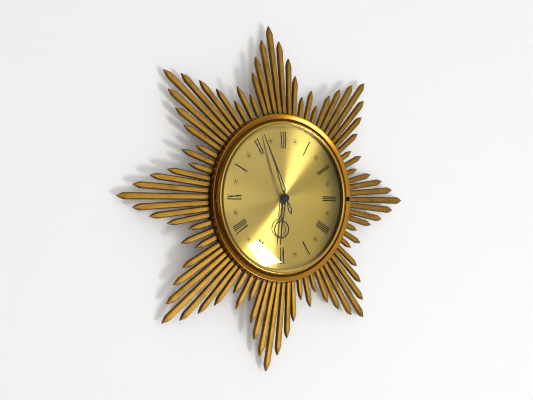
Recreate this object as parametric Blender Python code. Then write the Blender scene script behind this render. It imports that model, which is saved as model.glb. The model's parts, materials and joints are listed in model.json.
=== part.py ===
"""Sunburst wall clock with an opening front glass and a battery movement.

The clock hangs on a wall that lies in the plane y = 0.  Its dial looks along -Y, +X is to the
right of somebody reading the dial and +Z is up.  All lengths are in metres.

Most shapes are described by a radius from an axis that runs along Y and by a height, which is
the distance in front of the wall, so a height h lies at y = -h.
"""

import math

import bmesh
import bpy
from mathutils import Matrix, Vector

# ---------------------------------------------------------------- driving dimensions

GAP = 0.0003                    # clearance kept between neighbouring parts
OVERCUT = 0.0015                # how far a cutter runs past the faces that it goes through
SINK = 0.0003                   # how far a joined piece goes into its neighbour
TURN = 2.0 * math.pi
SHARP_ANGLE = 30.0              # degrees; flatter edges are shaded smooth
LARGE_STEPS = 48                # facets round the bezel and what lies inside it
CASE_STEPS = 40                 # facets round the parts behind it
MEDIUM_STEPS = 24
SMALL_STEPS = 12

# Rays
STAR_RADIUS = 0.225
RAY_CONE_HEIGHT = 0.0624        # where the rays' ridges would meet above the centre
RAY_CONE_SLOPE = 0.224          # fall of a ridge for each unit of radius
RAY_RADII = (STAR_RADIUS, 0.2058, 0.1850, 0.1645, 0.1393)   # main ray, then its neighbours
RAY_ANGLES = (0.0, 3.88, 7.96, 11.92, 17.22)                # degrees from the main ray
MID_RAY_RADIUS = 0.1537
MID_RAY_ANGLE = 22.5
RAY_ROOT_RADIUS = 0.1092
RAY_ROOT_WIDTH = 0.0070
RAY_WIDTH_GROWTH = 0.021        # extra width for each unit of radius
RAY_DEPTH = 0.0042
RAY_POINT_LENGTH = 0.0100
RAY_CROWN_SHARE = 0.70          # width of the crown as a share of the ray's width
RAY_TIP_DROP = 0.30             # how far the point lies under the ridge, as a share of the depth
RAY_START = RAY_ROOT_RADIUS + 0.0007
TANG_WIDTH = 0.0044
TANG_INNER_RADIUS = 0.1025
TANG_LOW, TANG_HIGH = 0.0336, 0.0362
STRIP_INNER, STRIP_OUTER = 0.0997, 0.1073
STRIP_LOW, STRIP_HIGH = 0.0310, 0.0340
FAN_HALF_ANGLE = 13.4
TRIO_HALF_ANGLE = 7.0

# Case
CUP_RADIUS = 0.0952
CUP_WALL = 0.0012
CUP_RIM_HEIGHT = 0.0428
CUP_REAR_HEIGHT = 0.0033
FLANGE_RADIUS = 0.1040
FLANGE_LOW, FLANGE_HIGH = 0.0266, 0.0282
SHELF_RADIUS = 0.0905
SHELF_LOW, SHELF_HIGH = 0.0350, 0.0361
LIP_RADIUS = 0.0880             # the rear lip that the cover is screwed to
CARRIER_LOW, CARRIER_HIGH = 0.0285, 0.0307
BEZEL_RADIUS = 0.1080
BEZEL_WALL = 0.0012
BEZEL_FOOT, BEZEL_TOP = 0.0386, 0.0472
FACE_INNER, FACE_FOOT = 0.1017, 0.0456
SKIRT_INNER, SKIRT_OUTER, SKIRT_FOOT = 0.0956, 0.0972, 0.0310
LEDGE_TOP, LEDGE_UNDER = 0.0450, 0.0438
POST_RADIUS = 0.0017
COVER_RADIUS = 0.0945
COVER_PAN_RADIUS = 0.0785
COVER_SKIN = 0.0012
COVER_RIM_LOW, COVER_RIM_HIGH = 0.0018, 0.0030

# Screws: places on a circle, hole, then radii and heights of the head and the shank
SCREW_CIRCLE, SCREW_ANGLES = 0.1016, (14.45, 104.45, 194.45, 284.45)
CLAMP_HOLE, THREAD_HOLE, THREAD_END = 0.0012, 0.0011, 0.0395
BEZEL_SCREW = ((0.0021, 0.0246, 0.0263), (0.0008, 0.0260, 0.0390))
COVER_SCREW_CIRCLE, COVER_SCREW_ANGLES = 0.0912, (30.0, 150.0, 270.0)
COVER_HOLE = 0.0014
COVER_SCREW = ((0.0026, 0.0004, 0.0015), (0.0011, 0.0012, 0.0080))
SLOT_HALF, SLOT_DEPTH = 0.0003, 0.0005

# Windows in the back cover
KNOB_WINDOW = 0.0120
BATTERY_WINDOW_X, BATTERY_WINDOW_Z = 0.0310, 0.0149         # half sizes
REGULATOR_WINDOW_X, REGULATOR_WINDOW_LOW, REGULATOR_WINDOW_HIGH = 0.0120, 0.0420, 0.0480
HANGER_WINDOW_X, HANGER_WINDOW_BELOW, HANGER_WINDOW_ABOVE = 0.0090, 0.0070, 0.0130

# Front glass
GLASS_RING_RADIUS = 0.1013
RING_FOOT, RING_SEAT, RING_SEAT_HEIGHT = 0.0453, 0.0966, 0.0473
BEAD_INNER = 0.0929
SEAL_INNER, SEAL_TOP = 0.0930, 0.0459
CRYSTAL_EDGE = 0.0924
CRYSTAL_FACETS = 4              # rings of facets across the dome
CRYSTAL_RIM = 0.0963
CRYSTAL_RIM_LOW, CRYSTAL_RIM_HIGH = 0.0462, 0.0470
CRYSTAL_RISE = 0.0120
CRYSTAL_THICKNESS = 0.0012
HINGE_X, HINGE_HEIGHT = -0.1029, 0.0461
HINGE_RADIUS = 0.00125
HINGE_PIN_RADIUS = 0.00045
HINGE_PIN_HALF = 0.0054
RING_KNUCKLE_HALF = 0.0018
CASE_KNUCKLE = (0.0022, 0.0052)
SEAT_OUTER, SEAT_INNER = -0.1049, -0.0995   # the bezel's cut-out round the hinge
WEB_END, WEB_LOW, WEB_HIGH = -0.1000, 0.0456, 0.0464
CUT_TOP = 0.0500                # above everything that the bezel's cutters meet
SEAT_FLOOR, NOTCH_FLOOR = 0.0445, 0.0443
NOTCH_INNER, NOTCH_OUTER, NOTCH_HALF = 0.1005, 0.1058, 0.0030

# Dial and hands
DIAL_RADIUS = 0.0948
DIAL_LOW, DIAL_HIGH = 0.0431, 0.0439
DIAL_HOLE = 0.0041
DIAL_RING_INNER, DIAL_RING_OUTER, DIAL_RING_SLOPE = 0.0920, 0.0952, 0.0010
DIAL_RING_LOW, DIAL_RING_HIGH = 0.0442, 0.0449
MINUTE_ANGLE, HOUR_ANGLE = 338.8, 185.4     # degrees clockwise from twelve
MINUTE_HEIGHT, HOUR_HEIGHT = 0.0520, 0.0474
HAND_THICKNESS = 0.0005
BOSS_THICKNESS = 0.0008
MINUTE_BOSS, MINUTE_HOLE = 0.0045, 0.0013
HOUR_BOSS, HOUR_HOLE = 0.0060, 0.0037
HOUR_RING_INNER, HOUR_RING_OUTER, HOUR_RING_CENTRE = 0.0102, 0.0116, 0.0407
HOUR_RING_PROUD = 0.00005       # the ring stands this much above the stem
BEND_START, BEND_DROP, BEND_POWER = 0.030, 0.0057, 1.5
MINUTE_TIP = 0.0870
NUT_RADIUS, NUT_LOW, NUT_HIGH, NUT_SKIN = 0.0027, 0.0527, 0.0547, 0.0006

# Teeth and modules of the motion work and of the train
CANNON_TEETH, MINUTE_TEETH, KNOB_TEETH = 12, 36, 12
MINUTE_PINION_TEETH, HOUR_TEETH = 10, 40
CENTRE_TEETH, THIRD_PINION_TEETH, THIRD_TEETH, INDEX_PINION_TEETH = 72, 8, 60, 6
FINE_TEETH = 30                 # wheels with more teeth than this have pointed ones
MOTION_MODULE, TRAIN_MODULE = 0.0008, 0.0006
MOTION_DISTANCE = MOTION_MODULE * (CANNON_TEETH + MINUTE_TEETH) / 2.0
HOUR_MODULE = 2.0 * MOTION_DISTANCE / (MINUTE_PINION_TEETH + HOUR_TEETH)
CENTRE_TO_THIRD = TRAIN_MODULE * (CENTRE_TEETH + THIRD_PINION_TEETH) / 2.0
THIRD_TO_INDEX = TRAIN_MODULE * (THIRD_TEETH + INDEX_PINION_TEETH) / 2.0
INDEX_TO_BALANCE = 0.0160

# Axes of the movement as (x, z)
CENTRE = (0.0, 0.0)
MINUTE_WHEEL_AXIS = (-0.6 * MOTION_DISTANCE, -0.8 * MOTION_DISTANCE)
KNOB_AXIS = (MINUTE_WHEEL_AXIS[0] - MOTION_DISTANCE, MINUTE_WHEEL_AXIS[1])
THIRD_AXIS = (0.8 * CENTRE_TO_THIRD, 0.6 * CENTRE_TO_THIRD)
INDEX_AXIS = (THIRD_AXIS[0], THIRD_AXIS[1] + THIRD_TO_INDEX)
BALANCE_AXIS = (INDEX_AXIS[0] - INDEX_TO_BALANCE, INDEX_AXIS[1])

# Lower and upper heights in the movement
BACK_PLATE = (0.0084, 0.0099)
FRONT_PLATE = (0.0346, 0.0361)
MOUNT = (0.0364, 0.0379)
CENTRE_WHEEL = (0.0300, 0.0312)
CANNON_PINION = (0.0374, 0.0394)
MINUTE_WHEEL, MINUTE_PINION = (0.0378, 0.0390), (0.0386, 0.0420)
HOUR_WHEEL = (0.0406, 0.0416)
THIRD_WHEEL, THIRD_PINION = (0.0246, 0.0258), (0.0290, 0.0322)
INDEX_WHEEL, INDEX_PINION = (0.0204, 0.0212), (0.0236, 0.0268)
KNOB_HEAD = (0.0016, 0.0078)
HAIRSPRING = (0.0184, 0.0194)
ROLLER = (0.0206, 0.0212)
COIL = (0.0129, 0.0155)
BOARD = (0.0134, 0.0146)
REGULATOR = (0.0074, 0.0081)
ARBOR_FOOT = BACK_PLATE[0] + 0.0003

# Frame of the movement
PLATE_X, PLATE_BOTTOM, PLATE_TOP = 0.0440, -0.0300, 0.0540
PILLARS = ((-0.040, -0.026), (0.040, -0.026), (-0.040, 0.050), (0.040, 0.050))
PILLAR_RADIUS, TENON_RADIUS, TENON_HOLE, TENON_ROOT = 0.0025, 0.0012, 0.0015, 0.0020
MOUNT_INNER, MOUNT_OUTER = 0.0430, 0.0936

# Arbors, pipes and wheels
ARBOR, INDEX_ARBOR, BALANCE_STAFF, KNOB_STEM = 0.0010, 0.0008, 0.0007, 0.0012
KNOB_STEM_HOLE = 0.0015
CANNON_PIPE, CANNON_PIPE_TOP = 0.0020, 0.0513
CENTRE_ARBOR_TOP = 0.0538
HOUR_PIPE, HOUR_PIPE_HOLE, HOUR_PIPE_TOP = 0.0034, 0.0023, 0.0478
KNOB_RADIUS = 0.0075
INDEX_TEETH, INDEX_TIP, INDEX_ROOT, INDEX_LEAN = 45, 0.0120, 0.0113, 0.8
BALANCE_LEVELS, BALANCE_DISC = (0.0114, 0.0160), 0.0010
BALANCE_RIM_INNER, BALANCE_RIM_OUTER, BALANCE_HUB, SPOKE_HALF = 0.0110, 0.0140, 0.0022, 0.0012
MAGNET_LEVELS, MAGNET_THICKNESS = (0.0102, 0.0166), 0.0014
MAGNET_CIRCLE, MAGNET_RADIUS = 0.0090, 0.0025
ROLLER_LENGTH, ROLLER_HALF = 0.0034, 0.0006
SPRING_INNER, SPRING_OUTER, SPRING_HALF_WIDTH = 0.0022, 0.0086, 0.00025
SPRING_TURNS, SPRING_STEPS = 3.5, 12        # steps in each turn
COIL_OFFSET, COIL_INNER, COIL_OUTER = 0.0080, 0.0022, 0.0056
BOARD_X, BOARD_Z = (-0.0380, -0.0116), (0.0240, 0.0450)
CAPACITOR, CAPACITOR_RADIUS, CAPACITOR_TOP = (-0.0300, 0.0400), 0.0024, 0.0190
CHIP_X, CHIP_Z, CHIP_TOP = (-0.0350, -0.0260), (0.0270, 0.0310), 0.0170
LEVER_INNER, LEVER_OUTER, LEVER_HALF, LEVER_REACH = 0.0015, 0.0040, 0.0009, 0.0130
LEVER_PIN, LEVER_PIN_RADIUS, LEVER_PIN_FOOT = 0.0110, 0.0014, 0.0020

# Battery bay
BATTERY_RADIUS, BATTERY_LENGTH = 0.0130, 0.0490
TERMINAL_RADIUS, TERMINAL_LENGTH = 0.0035, 0.0015
BATTERY_Z, BATTERY_HEIGHT = -0.0560, 0.0178
BAY_HALF_X, BAY_HALF_Z = 0.0305, 0.0144
TRAY_LOW, TRAY_HIGH, TRAY_WALL = 0.0042, 0.0324, 0.0012
TRAY_POST_X, TRAY_POST_RADIUS = 0.0240, 0.0025
CONTACT_LOW, CONTACT_HIGH, CONTACT_HALF, CONTACT_THICKNESS = 0.0080, 0.0290, 0.0050, 0.0006
CONTACT_PAD_HALF = 0.0030
DOOR_HALF_X, DOOR_LOW, DOOR_PIVOT = 0.0306, 0.0001, 0.0006
FINGER_RADIUS, FINGER_DEPTH = 0.0040, 0.0005

# Hanger
HANGER_HALF_X, HANGER_BELOW, HANGER_ABOVE = 0.0180, 0.0100, 0.0150
HANGER_Z, HANGER_LOW, HANGER_HIGH = 0.0590, 0.0015, 0.0029
KEYHOLE_RADIUS, KEYHOLE_SLOT, KEYHOLE_RISE = 0.0042, 0.0021, 0.0095

MATERIALS = {
    # name: (colour, metallic, roughness)
    "patinated_brass": ((0.25, 0.15, 0.055), 0.9, 0.48),
    "gold_metal": ((0.62, 0.42, 0.15), 1.0, 0.28),
    "bright_gold": ((0.80, 0.58, 0.25), 1.0, 0.16),
    "dial_brass": ((0.70, 0.55, 0.24), 1.0, 0.30),
    "black_enamel": ((0.012, 0.012, 0.013), 0.0, 0.35),
    "crystal": ((0.95, 0.97, 0.96), 0.0, 0.03),
    "seal": ((0.05, 0.05, 0.05), 0.0, 0.7),
    "steel": ((0.48, 0.48, 0.47), 1.0, 0.35),
    "case_paint": ((0.10, 0.075, 0.045), 0.2, 0.5),
    "wheel_brass": ((0.72, 0.52, 0.22), 1.0, 0.3),
    "black_plastic": ((0.025, 0.025, 0.027), 0.0, 0.45),
    "nylon": ((0.85, 0.83, 0.76), 0.0, 0.5),
    "copper_wire": ((0.60, 0.24, 0.12), 0.9, 0.4),
    "circuit_laminate": ((0.32, 0.20, 0.08), 0.0, 0.5),
    "battery_jacket": ((0.08, 0.16, 0.35), 0.2, 0.35),
}


# ---------------------------------------------------------------- small helpers

def clear_scene():
    for item in list(bpy.data.objects):
        bpy.data.objects.remove(item)


def point(x, z, height):
    return Vector((x, -height, z))


def polar(radius, degrees):
    """(x, z) at a clockwise angle from twelve o'clock."""
    angle = math.radians(degrees)
    return (radius * math.sin(angle), radius * math.cos(angle))


def make_material(name):
    colour, metallic, roughness = MATERIALS[name]
    material = bpy.data.materials.get(name) or bpy.data.materials.new(name)
    material.use_nodes = True
    shader = material.node_tree.nodes["Principled BSDF"]
    shader.inputs["Base Color"].default_value = (*colour, 1.0)
    shader.inputs["Metallic"].default_value = metallic
    shader.inputs["Roughness"].default_value = roughness
    if name == "crystal":
        shader.inputs["Transmission Weight"].default_value = 1.0
    return material


def to_object(shape, name):
    """A bmesh as an object in the scene, with its faces pointing out."""
    bmesh.ops.recalc_face_normals(shape, faces=shape.faces)
    mesh = bpy.data.meshes.new(name)
    shape.to_mesh(mesh)
    shape.free()
    item = bpy.data.objects.new(name, mesh)
    bpy.context.collection.objects.link(item)
    return item


def combine(target, tool_shape, operation):
    """Join a shape to an object, or cut it away, and keep the result as the object's mesh."""
    tool = to_object(tool_shape, "tool")
    modifier = target.modifiers.new(operation, 'BOOLEAN')
    modifier.operation = operation
    modifier.solver = 'EXACT'
    modifier.object = tool
    graph = bpy.context.evaluated_depsgraph_get()
    result = bpy.data.meshes.new_from_object(target.evaluated_get(graph))
    target.modifiers.clear()
    old = target.data
    target.data = result
    bpy.data.meshes.remove(old)
    bpy.data.objects.remove(tool)


def build(name, material, base, joins=(), cuts=()):
    """One sub-part: a base shape with others joined to it and more cut out of it."""
    item = to_object(base, name)
    for shape in joins:
        combine(item, shape, 'UNION')
    for shape in cuts:
        combine(item, shape, 'DIFFERENCE')
    item.data.name = name
    item.data.materials.clear()
    item.data.materials.append(make_material(material))
    item.data.shade_smooth()
    item.data.set_sharp_from_angle(angle=math.radians(SHARP_ANGLE))
    return item


def pivot(name, position, items):
    """Hang sub-parts on an empty that stands on their joint's axis."""
    empty = bpy.data.objects.new(name, None)
    empty.empty_display_size = 0.01
    empty.location = position
    bpy.context.collection.objects.link(empty)
    for item in items:
        item.data.transform(Matrix.Translation(-position))
        item.parent = empty
    return empty


# ---------------------------------------------------------------- shapes

def turned(profile, centre=CENTRE, steps=LARGE_STEPS):
    """Spin an outline of (radius, height) points about an axis along Y.

    The outline is a closed one, or it starts and ends on the axis.
    """
    shape = bmesh.new()
    verts = [shape.verts.new(point(centre[0] + radius, centre[1], height))
             for radius, height in profile]
    pairs = list(zip(verts, verts[1:]))
    if profile[0][0] > 0.0:
        pairs.append((verts[-1], verts[0]))
    edges = [shape.edges.new(pair) for pair in pairs]
    bmesh.ops.spin(shape, geom=verts + edges, cent=(centre[0], 0.0, centre[1]),
                   axis=(0.0, 1.0, 0.0), angle=TURN, steps=steps, use_merge=True)
    bmesh.ops.remove_doubles(shape, verts=shape.verts, dist=1e-6)
    return shape


def ring(inner, outer, low, high, centre=CENTRE, steps=LARGE_STEPS):
    return turned(((outer, low), (outer, high), (inner, high), (inner, low)), centre, steps)


def extruded(corners, offset):
    """A flat outline swept along a straight line."""
    shape = bmesh.new()
    face = shape.faces.new([shape.verts.new(corner) for corner in corners])
    raised = bmesh.ops.extrude_face_region(shape, geom=[face])
    moved = [item for item in raised["geom"] if isinstance(item, bmesh.types.BMVert)]
    bmesh.ops.translate(shape, verts=moved, vec=offset)
    return shape


def prism(outline, low, high):
    """Raise an outline of (x, z) points between two heights."""
    return extruded([point(x, z, low) for x, z in outline], point(0.0, 0.0, high - low))


def circle(centre, radius, steps=SMALL_STEPS):
    return [(centre[0] + radius * math.cos(TURN * k / steps),
             centre[1] + radius * math.sin(TURN * k / steps)) for k in range(steps)]


def rod(centre, radius, low, high, steps=SMALL_STEPS):
    return prism(circle(centre, radius, steps), low, high)


def bore(centre, radius, low, high, steps=SMALL_STEPS):
    """A cutter for a round hole right through what lies between two heights."""
    return rod(centre, radius, low - OVERCUT, high + OVERCUT, steps)


def block(low_x, high_x, low_z, high_z, low, high):
    return prism(((low_x, low_z), (high_x, low_z), (high_x, high_z), (low_x, high_z)), low, high)


def window(low_x, high_x, low_z, high_z, low, high):
    """A cutter for a square hole right through what lies between two heights."""
    return block(low_x, high_x, low_z, high_z, low - OVERCUT, high + OVERCUT)


def upright_rod(x, height, radius, low_z, high_z):
    """A cylinder along Z, for the glass ring's hinge."""
    corners = [(a, -b, low_z) for a, b in circle((x, height), radius)]
    return extruded(corners, (0.0, 0.0, high_z - low_z))


def battery_rod(low_x, high_x, radius, steps):
    """A cylinder along X on the battery's own axis."""
    corners = [(low_x, -a, b) for a, b in circle((BATTERY_HEIGHT, BATTERY_Z), radius, steps)]
    return extruded(corners, (high_x - low_x, 0.0, 0.0))


def gear_outline(teeth, module, centre, phase):
    """Straight-flanked teeth; phase is the angle, from +X towards +Z, of one tooth's middle.

    The fine teeth of a large wheel come to a point, coarse ones have a flat top.
    """
    pitch = TURN / teeth
    root = module * (teeth / 2.0 - 1.15)
    tip = module * (teeth / 2.0 + 0.85)
    corners = ((root, -0.27), (tip, -0.12), (tip, 0.12), (root, 0.27))
    if teeth > FINE_TEETH:
        corners = ((root, -0.30), (tip, 0.0), (root, 0.30))
    outline = []
    for tooth in range(teeth):
        middle = phase + tooth * pitch
        for radius, offset in corners:
            angle = middle + offset * pitch
            outline.append((centre[0] + radius * math.cos(angle),
                            centre[1] + radius * math.sin(angle)))
    return outline


def meshing_phase(axis_a, teeth_a, phase_a, axis_b, teeth_b):
    """The phase that puts gear B in mesh with gear A."""
    towards = math.atan2(axis_b[1] - axis_a[1], axis_b[0] - axis_a[0])
    place = ((towards - phase_a) / (TURN / teeth_a)) % 1.0
    return towards + math.pi + (place + 0.5) * TURN / teeth_b


def sector(inner, outer, low, high, middle, half, steps):
    """Part of a flat ring, centred on a clockwise angle in degrees."""
    angles = [middle - half + 2.0 * half * k / steps for k in range(steps + 1)]
    outline = [polar(outer, a) for a in angles] + [polar(inner, a) for a in reversed(angles)]
    return prism(outline, low, high)


# ---------------------------------------------------------------- rays

def ray_ridge(radius):
    return RAY_CONE_HEIGHT - RAY_CONE_SLOPE * radius


def ray_width(radius):
    return RAY_ROOT_WIDTH + RAY_WIDTH_GROWTH * (radius - RAY_ROOT_RADIUS)


def ray_section(radius, width, low, high):
    """Four corners of a ray's cross-section: a flat back and a narrower crown."""
    half, crown = width / 2.0, RAY_CROWN_SHARE * width / 2.0
    return [(-half, radius, low), (half, radius, low), (crown, radius, high),
            (-crown, radius, high)]


def add_ray(shape, tip_radius, degrees):
    """A tang under the bezel, a bar that widens outwards and a picket point."""
    shoulder = tip_radius - RAY_POINT_LENGTH
    sections = [ray_section(TANG_INNER_RADIUS, TANG_WIDTH, TANG_LOW, TANG_HIGH),
                ray_section(RAY_ROOT_RADIUS, TANG_WIDTH, TANG_LOW, TANG_HIGH)]
    for radius in (RAY_START, shoulder):
        ridge = ray_ridge(radius)
        sections.append(ray_section(radius, ray_width(radius), ridge - RAY_DEPTH, ridge))
    turn = Matrix.Rotation(math.radians(degrees), 3, 'Y')
    loops = [[shape.verts.new(turn @ point(x, z, h)) for x, z, h in section]
             for section in sections]
    for near, far in zip(loops, loops[1:]):
        for k in range(len(near)):
            nxt = (k + 1) % len(near)
            shape.faces.new((near[k], near[nxt], far[nxt], far[k]))
    shape.faces.new(list(reversed(loops[0])))
    drop = RAY_TIP_DROP * RAY_DEPTH
    tip = shape.verts.new(turn @ point(0.0, tip_radius, ray_ridge(tip_radius) - drop))
    last = loops[-1]
    for k in range(len(last)):
        shape.faces.new((last[k], last[(k + 1) % len(last)], tip))


def ray_group(name, middle, half, steps, rays):
    """Rays soldered to one curved strip."""
    shape = bmesh.new()
    for radius, offset in rays:
        add_ray(shape, radius, middle + offset)
    strip = sector(STRIP_INNER, STRIP_OUTER, STRIP_LOW, STRIP_HIGH, middle, half, steps)
    return build(name, "patinated_brass", strip, joins=[shape])


def make_star():
    for index in range(8):
        main = 45.0 * index
        fan = [(RAY_RADII[0], RAY_ANGLES[0])]
        for step in (1, 2, 3):
            fan += [(RAY_RADII[step], side * RAY_ANGLES[step]) for side in (-1, 1)]
        ray_group(f"ray_fan_{index + 1}", main, FAN_HALF_ANGLE, 7, fan)
        offset = MID_RAY_ANGLE - RAY_ANGLES[4]
        trio = [(MID_RAY_RADIUS, 0.0), (RAY_RADII[4], -offset), (RAY_RADII[4], offset)]
        ray_group(f"ray_trio_{index + 1}", main + MID_RAY_ANGLE, TRIO_HALF_ANGLE, 4, trio)


# ---------------------------------------------------------------- case

def bezel_screw_places():
    return [polar(SCREW_CIRCLE, angle) for angle in SCREW_ANGLES]


def cover_screw_places():
    return [polar(COVER_SCREW_CIRCLE, angle) for angle in COVER_SCREW_ANGLES]


def slotted_screw(name, place, sizes):
    """A screw whose slotted head faces the wall."""
    (head, head_low, head_high), (shank, shank_low, shank_high) = sizes
    slot = block(place[0] - 2.0 * head, place[0] + 2.0 * head, place[1] - SLOT_HALF,
                 place[1] + SLOT_HALF, head_low - OVERCUT, head_low + SLOT_DEPTH)
    build(name, "steel", rod(place, head, head_low, head_high),
          joins=[rod(place, shank, shank_low, shank_high)], cuts=[slot])


def make_case():
    inside = CUP_RADIUS - CUP_WALL
    lip = CUP_REAR_HEIGHT + CUP_WALL
    cup = [(CUP_RADIUS, CUP_REAR_HEIGHT), (CUP_RADIUS, FLANGE_LOW), (FLANGE_RADIUS, FLANGE_LOW),
           (FLANGE_RADIUS, FLANGE_HIGH), (CUP_RADIUS, FLANGE_HIGH), (CUP_RADIUS, CUP_RIM_HEIGHT),
           (inside, CUP_RIM_HEIGHT), (inside, SHELF_HIGH), (SHELF_RADIUS, SHELF_HIGH),
           (SHELF_RADIUS, SHELF_LOW), (inside, SHELF_LOW), (inside, lip), (LIP_RADIUS, lip),
           (LIP_RADIUS, CUP_REAR_HEIGHT)]
    holes = [bore(place, CLAMP_HOLE, FLANGE_LOW, FLANGE_HIGH) for place in bezel_screw_places()]
    holes += [bore(place, COVER_HOLE, CUP_REAR_HEIGHT, lip) for place in cover_screw_places()]
    build("case_cup", "case_paint", turned(cup, steps=CASE_STEPS), cuts=holes)

    build("ray_carrier_ring", "steel",
          ring(SKIRT_INNER, STRIP_OUTER, CARRIER_LOW, CARRIER_HIGH, steps=CASE_STEPS),
          cuts=[bore(place, CLAMP_HOLE, CARRIER_LOW, CARRIER_HIGH)
                for place in bezel_screw_places()])

    for index, place in enumerate(bezel_screw_places()):
        slotted_screw(f"bezel_screw_{index + 1}", place, BEZEL_SCREW)


def make_bezel():
    inside = BEZEL_RADIUS - BEZEL_WALL
    profile = [(BEZEL_RADIUS, BEZEL_FOOT), (BEZEL_RADIUS, BEZEL_TOP - 0.0006),
               (BEZEL_RADIUS - 0.0010, BEZEL_TOP), (FACE_INNER, FACE_FOOT),
               (FACE_INNER, LEDGE_TOP), (SKIRT_INNER, LEDGE_TOP), (SKIRT_INNER, SKIRT_FOOT),
               (SKIRT_OUTER, SKIRT_FOOT), (SKIRT_OUTER, LEDGE_UNDER), (inside, LEDGE_UNDER),
               (inside, BEZEL_FOOT)]
    places = bezel_screw_places()
    posts = [rod(place, POST_RADIUS, SKIRT_FOOT, LEDGE_UNDER + SINK) for place in places]
    barrels = [upright_rod(HINGE_X, HINGE_HEIGHT, HINGE_RADIUS, side * CASE_KNUCKLE[0],
                           side * CASE_KNUCKLE[1]) for side in (-1, 1)]
    seat_half = RING_KNUCKLE_HALF + GAP
    seat = block(SEAT_OUTER, SEAT_INNER, -seat_half, seat_half, SEAT_FLOOR, CUT_TOP)
    notch = block(NOTCH_INNER, NOTCH_OUTER, -NOTCH_HALF, NOTCH_HALF, NOTCH_FLOOR, CUT_TOP)
    threads = [rod(place, THREAD_HOLE, SKIRT_FOOT - OVERCUT, THREAD_END) for place in places]
    build("outer_bezel", "gold_metal", turned(profile), joins=posts + barrels,
          cuts=[seat, hinge_bore(), notch] + threads)
    build("hinge_pin", "steel",
          upright_rod(HINGE_X, HINGE_HEIGHT, HINGE_PIN_RADIUS, -HINGE_PIN_HALF, HINGE_PIN_HALF))


def hinge_bore():
    """A cutter for the pin's hole through all the knuckles."""
    half = HINGE_PIN_HALF + OVERCUT
    return upright_rod(HINGE_X, HINGE_HEIGHT, HINGE_PIN_RADIUS + GAP, -half, half)


def make_back_cover():
    profile = [(0.0, 0.0), (COVER_PAN_RADIUS, 0.0), (0.0800, COVER_RIM_LOW),
               (COVER_RADIUS, COVER_RIM_LOW), (COVER_RADIUS, COVER_RIM_HIGH),
               (0.0793, COVER_RIM_HIGH), (0.0778, COVER_SKIN), (0.0, COVER_SKIN)]
    skin = (0.0, COVER_SKIN)
    cuts = [bore(KNOB_AXIS, KNOB_WINDOW, *skin, MEDIUM_STEPS),
            window(-BATTERY_WINDOW_X, BATTERY_WINDOW_X, BATTERY_Z - BATTERY_WINDOW_Z,
                   BATTERY_Z + BATTERY_WINDOW_Z, *skin),
            window(BALANCE_AXIS[0] - REGULATOR_WINDOW_X, BALANCE_AXIS[0] + REGULATOR_WINDOW_X,
                   REGULATOR_WINDOW_LOW, REGULATOR_WINDOW_HIGH, *skin),
            window(-HANGER_WINDOW_X, HANGER_WINDOW_X, HANGER_Z - HANGER_WINDOW_BELOW,
                   HANGER_Z + HANGER_WINDOW_ABOVE, *skin)]
    cuts += [bore(place, COVER_HOLE, COVER_RIM_LOW, COVER_RIM_HIGH)
             for place in cover_screw_places()]
    build("back_cover", "black_plastic", turned(profile, steps=CASE_STEPS), cuts=cuts)

    for index, place in enumerate(cover_screw_places()):
        slotted_screw(f"cover_screw_{index + 1}", place, COVER_SCREW)


def make_hanger():
    """A steel plate behind the cover with the keyhole that the wall screw goes into."""
    slot_top = HANGER_Z + KEYHOLE_RISE
    levels = (HANGER_LOW, HANGER_HIGH)
    build("hanger_plate", "steel",
          block(-HANGER_HALF_X, HANGER_HALF_X, HANGER_Z - HANGER_BELOW, HANGER_Z + HANGER_ABOVE,
                *levels),
          cuts=[bore((0.0, HANGER_Z), KEYHOLE_RADIUS, *levels, MEDIUM_STEPS),
                window(-KEYHOLE_SLOT, KEYHOLE_SLOT, HANGER_Z, slot_top, *levels),
                bore((0.0, slot_top), KEYHOLE_SLOT, *levels)])


def make_battery_door():
    """A lid that hangs from its upper edge and swings out towards the wall."""
    low, high = BATTERY_Z - BAY_HALF_Z, BATTERY_Z + BAY_HALF_Z
    door = build("battery_door", "black_plastic",
                 block(-DOOR_HALF_X, DOOR_HALF_X, low, high, DOOR_LOW, COVER_SKIN),
                 cuts=[rod((0.0, low), FINGER_RADIUS, -OVERCUT, FINGER_DEPTH)])
    pivot("battery_door_hinge", point(0.0, high - DOOR_PIVOT, DOOR_PIVOT), [door])


# ---------------------------------------------------------------- front glass

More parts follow.
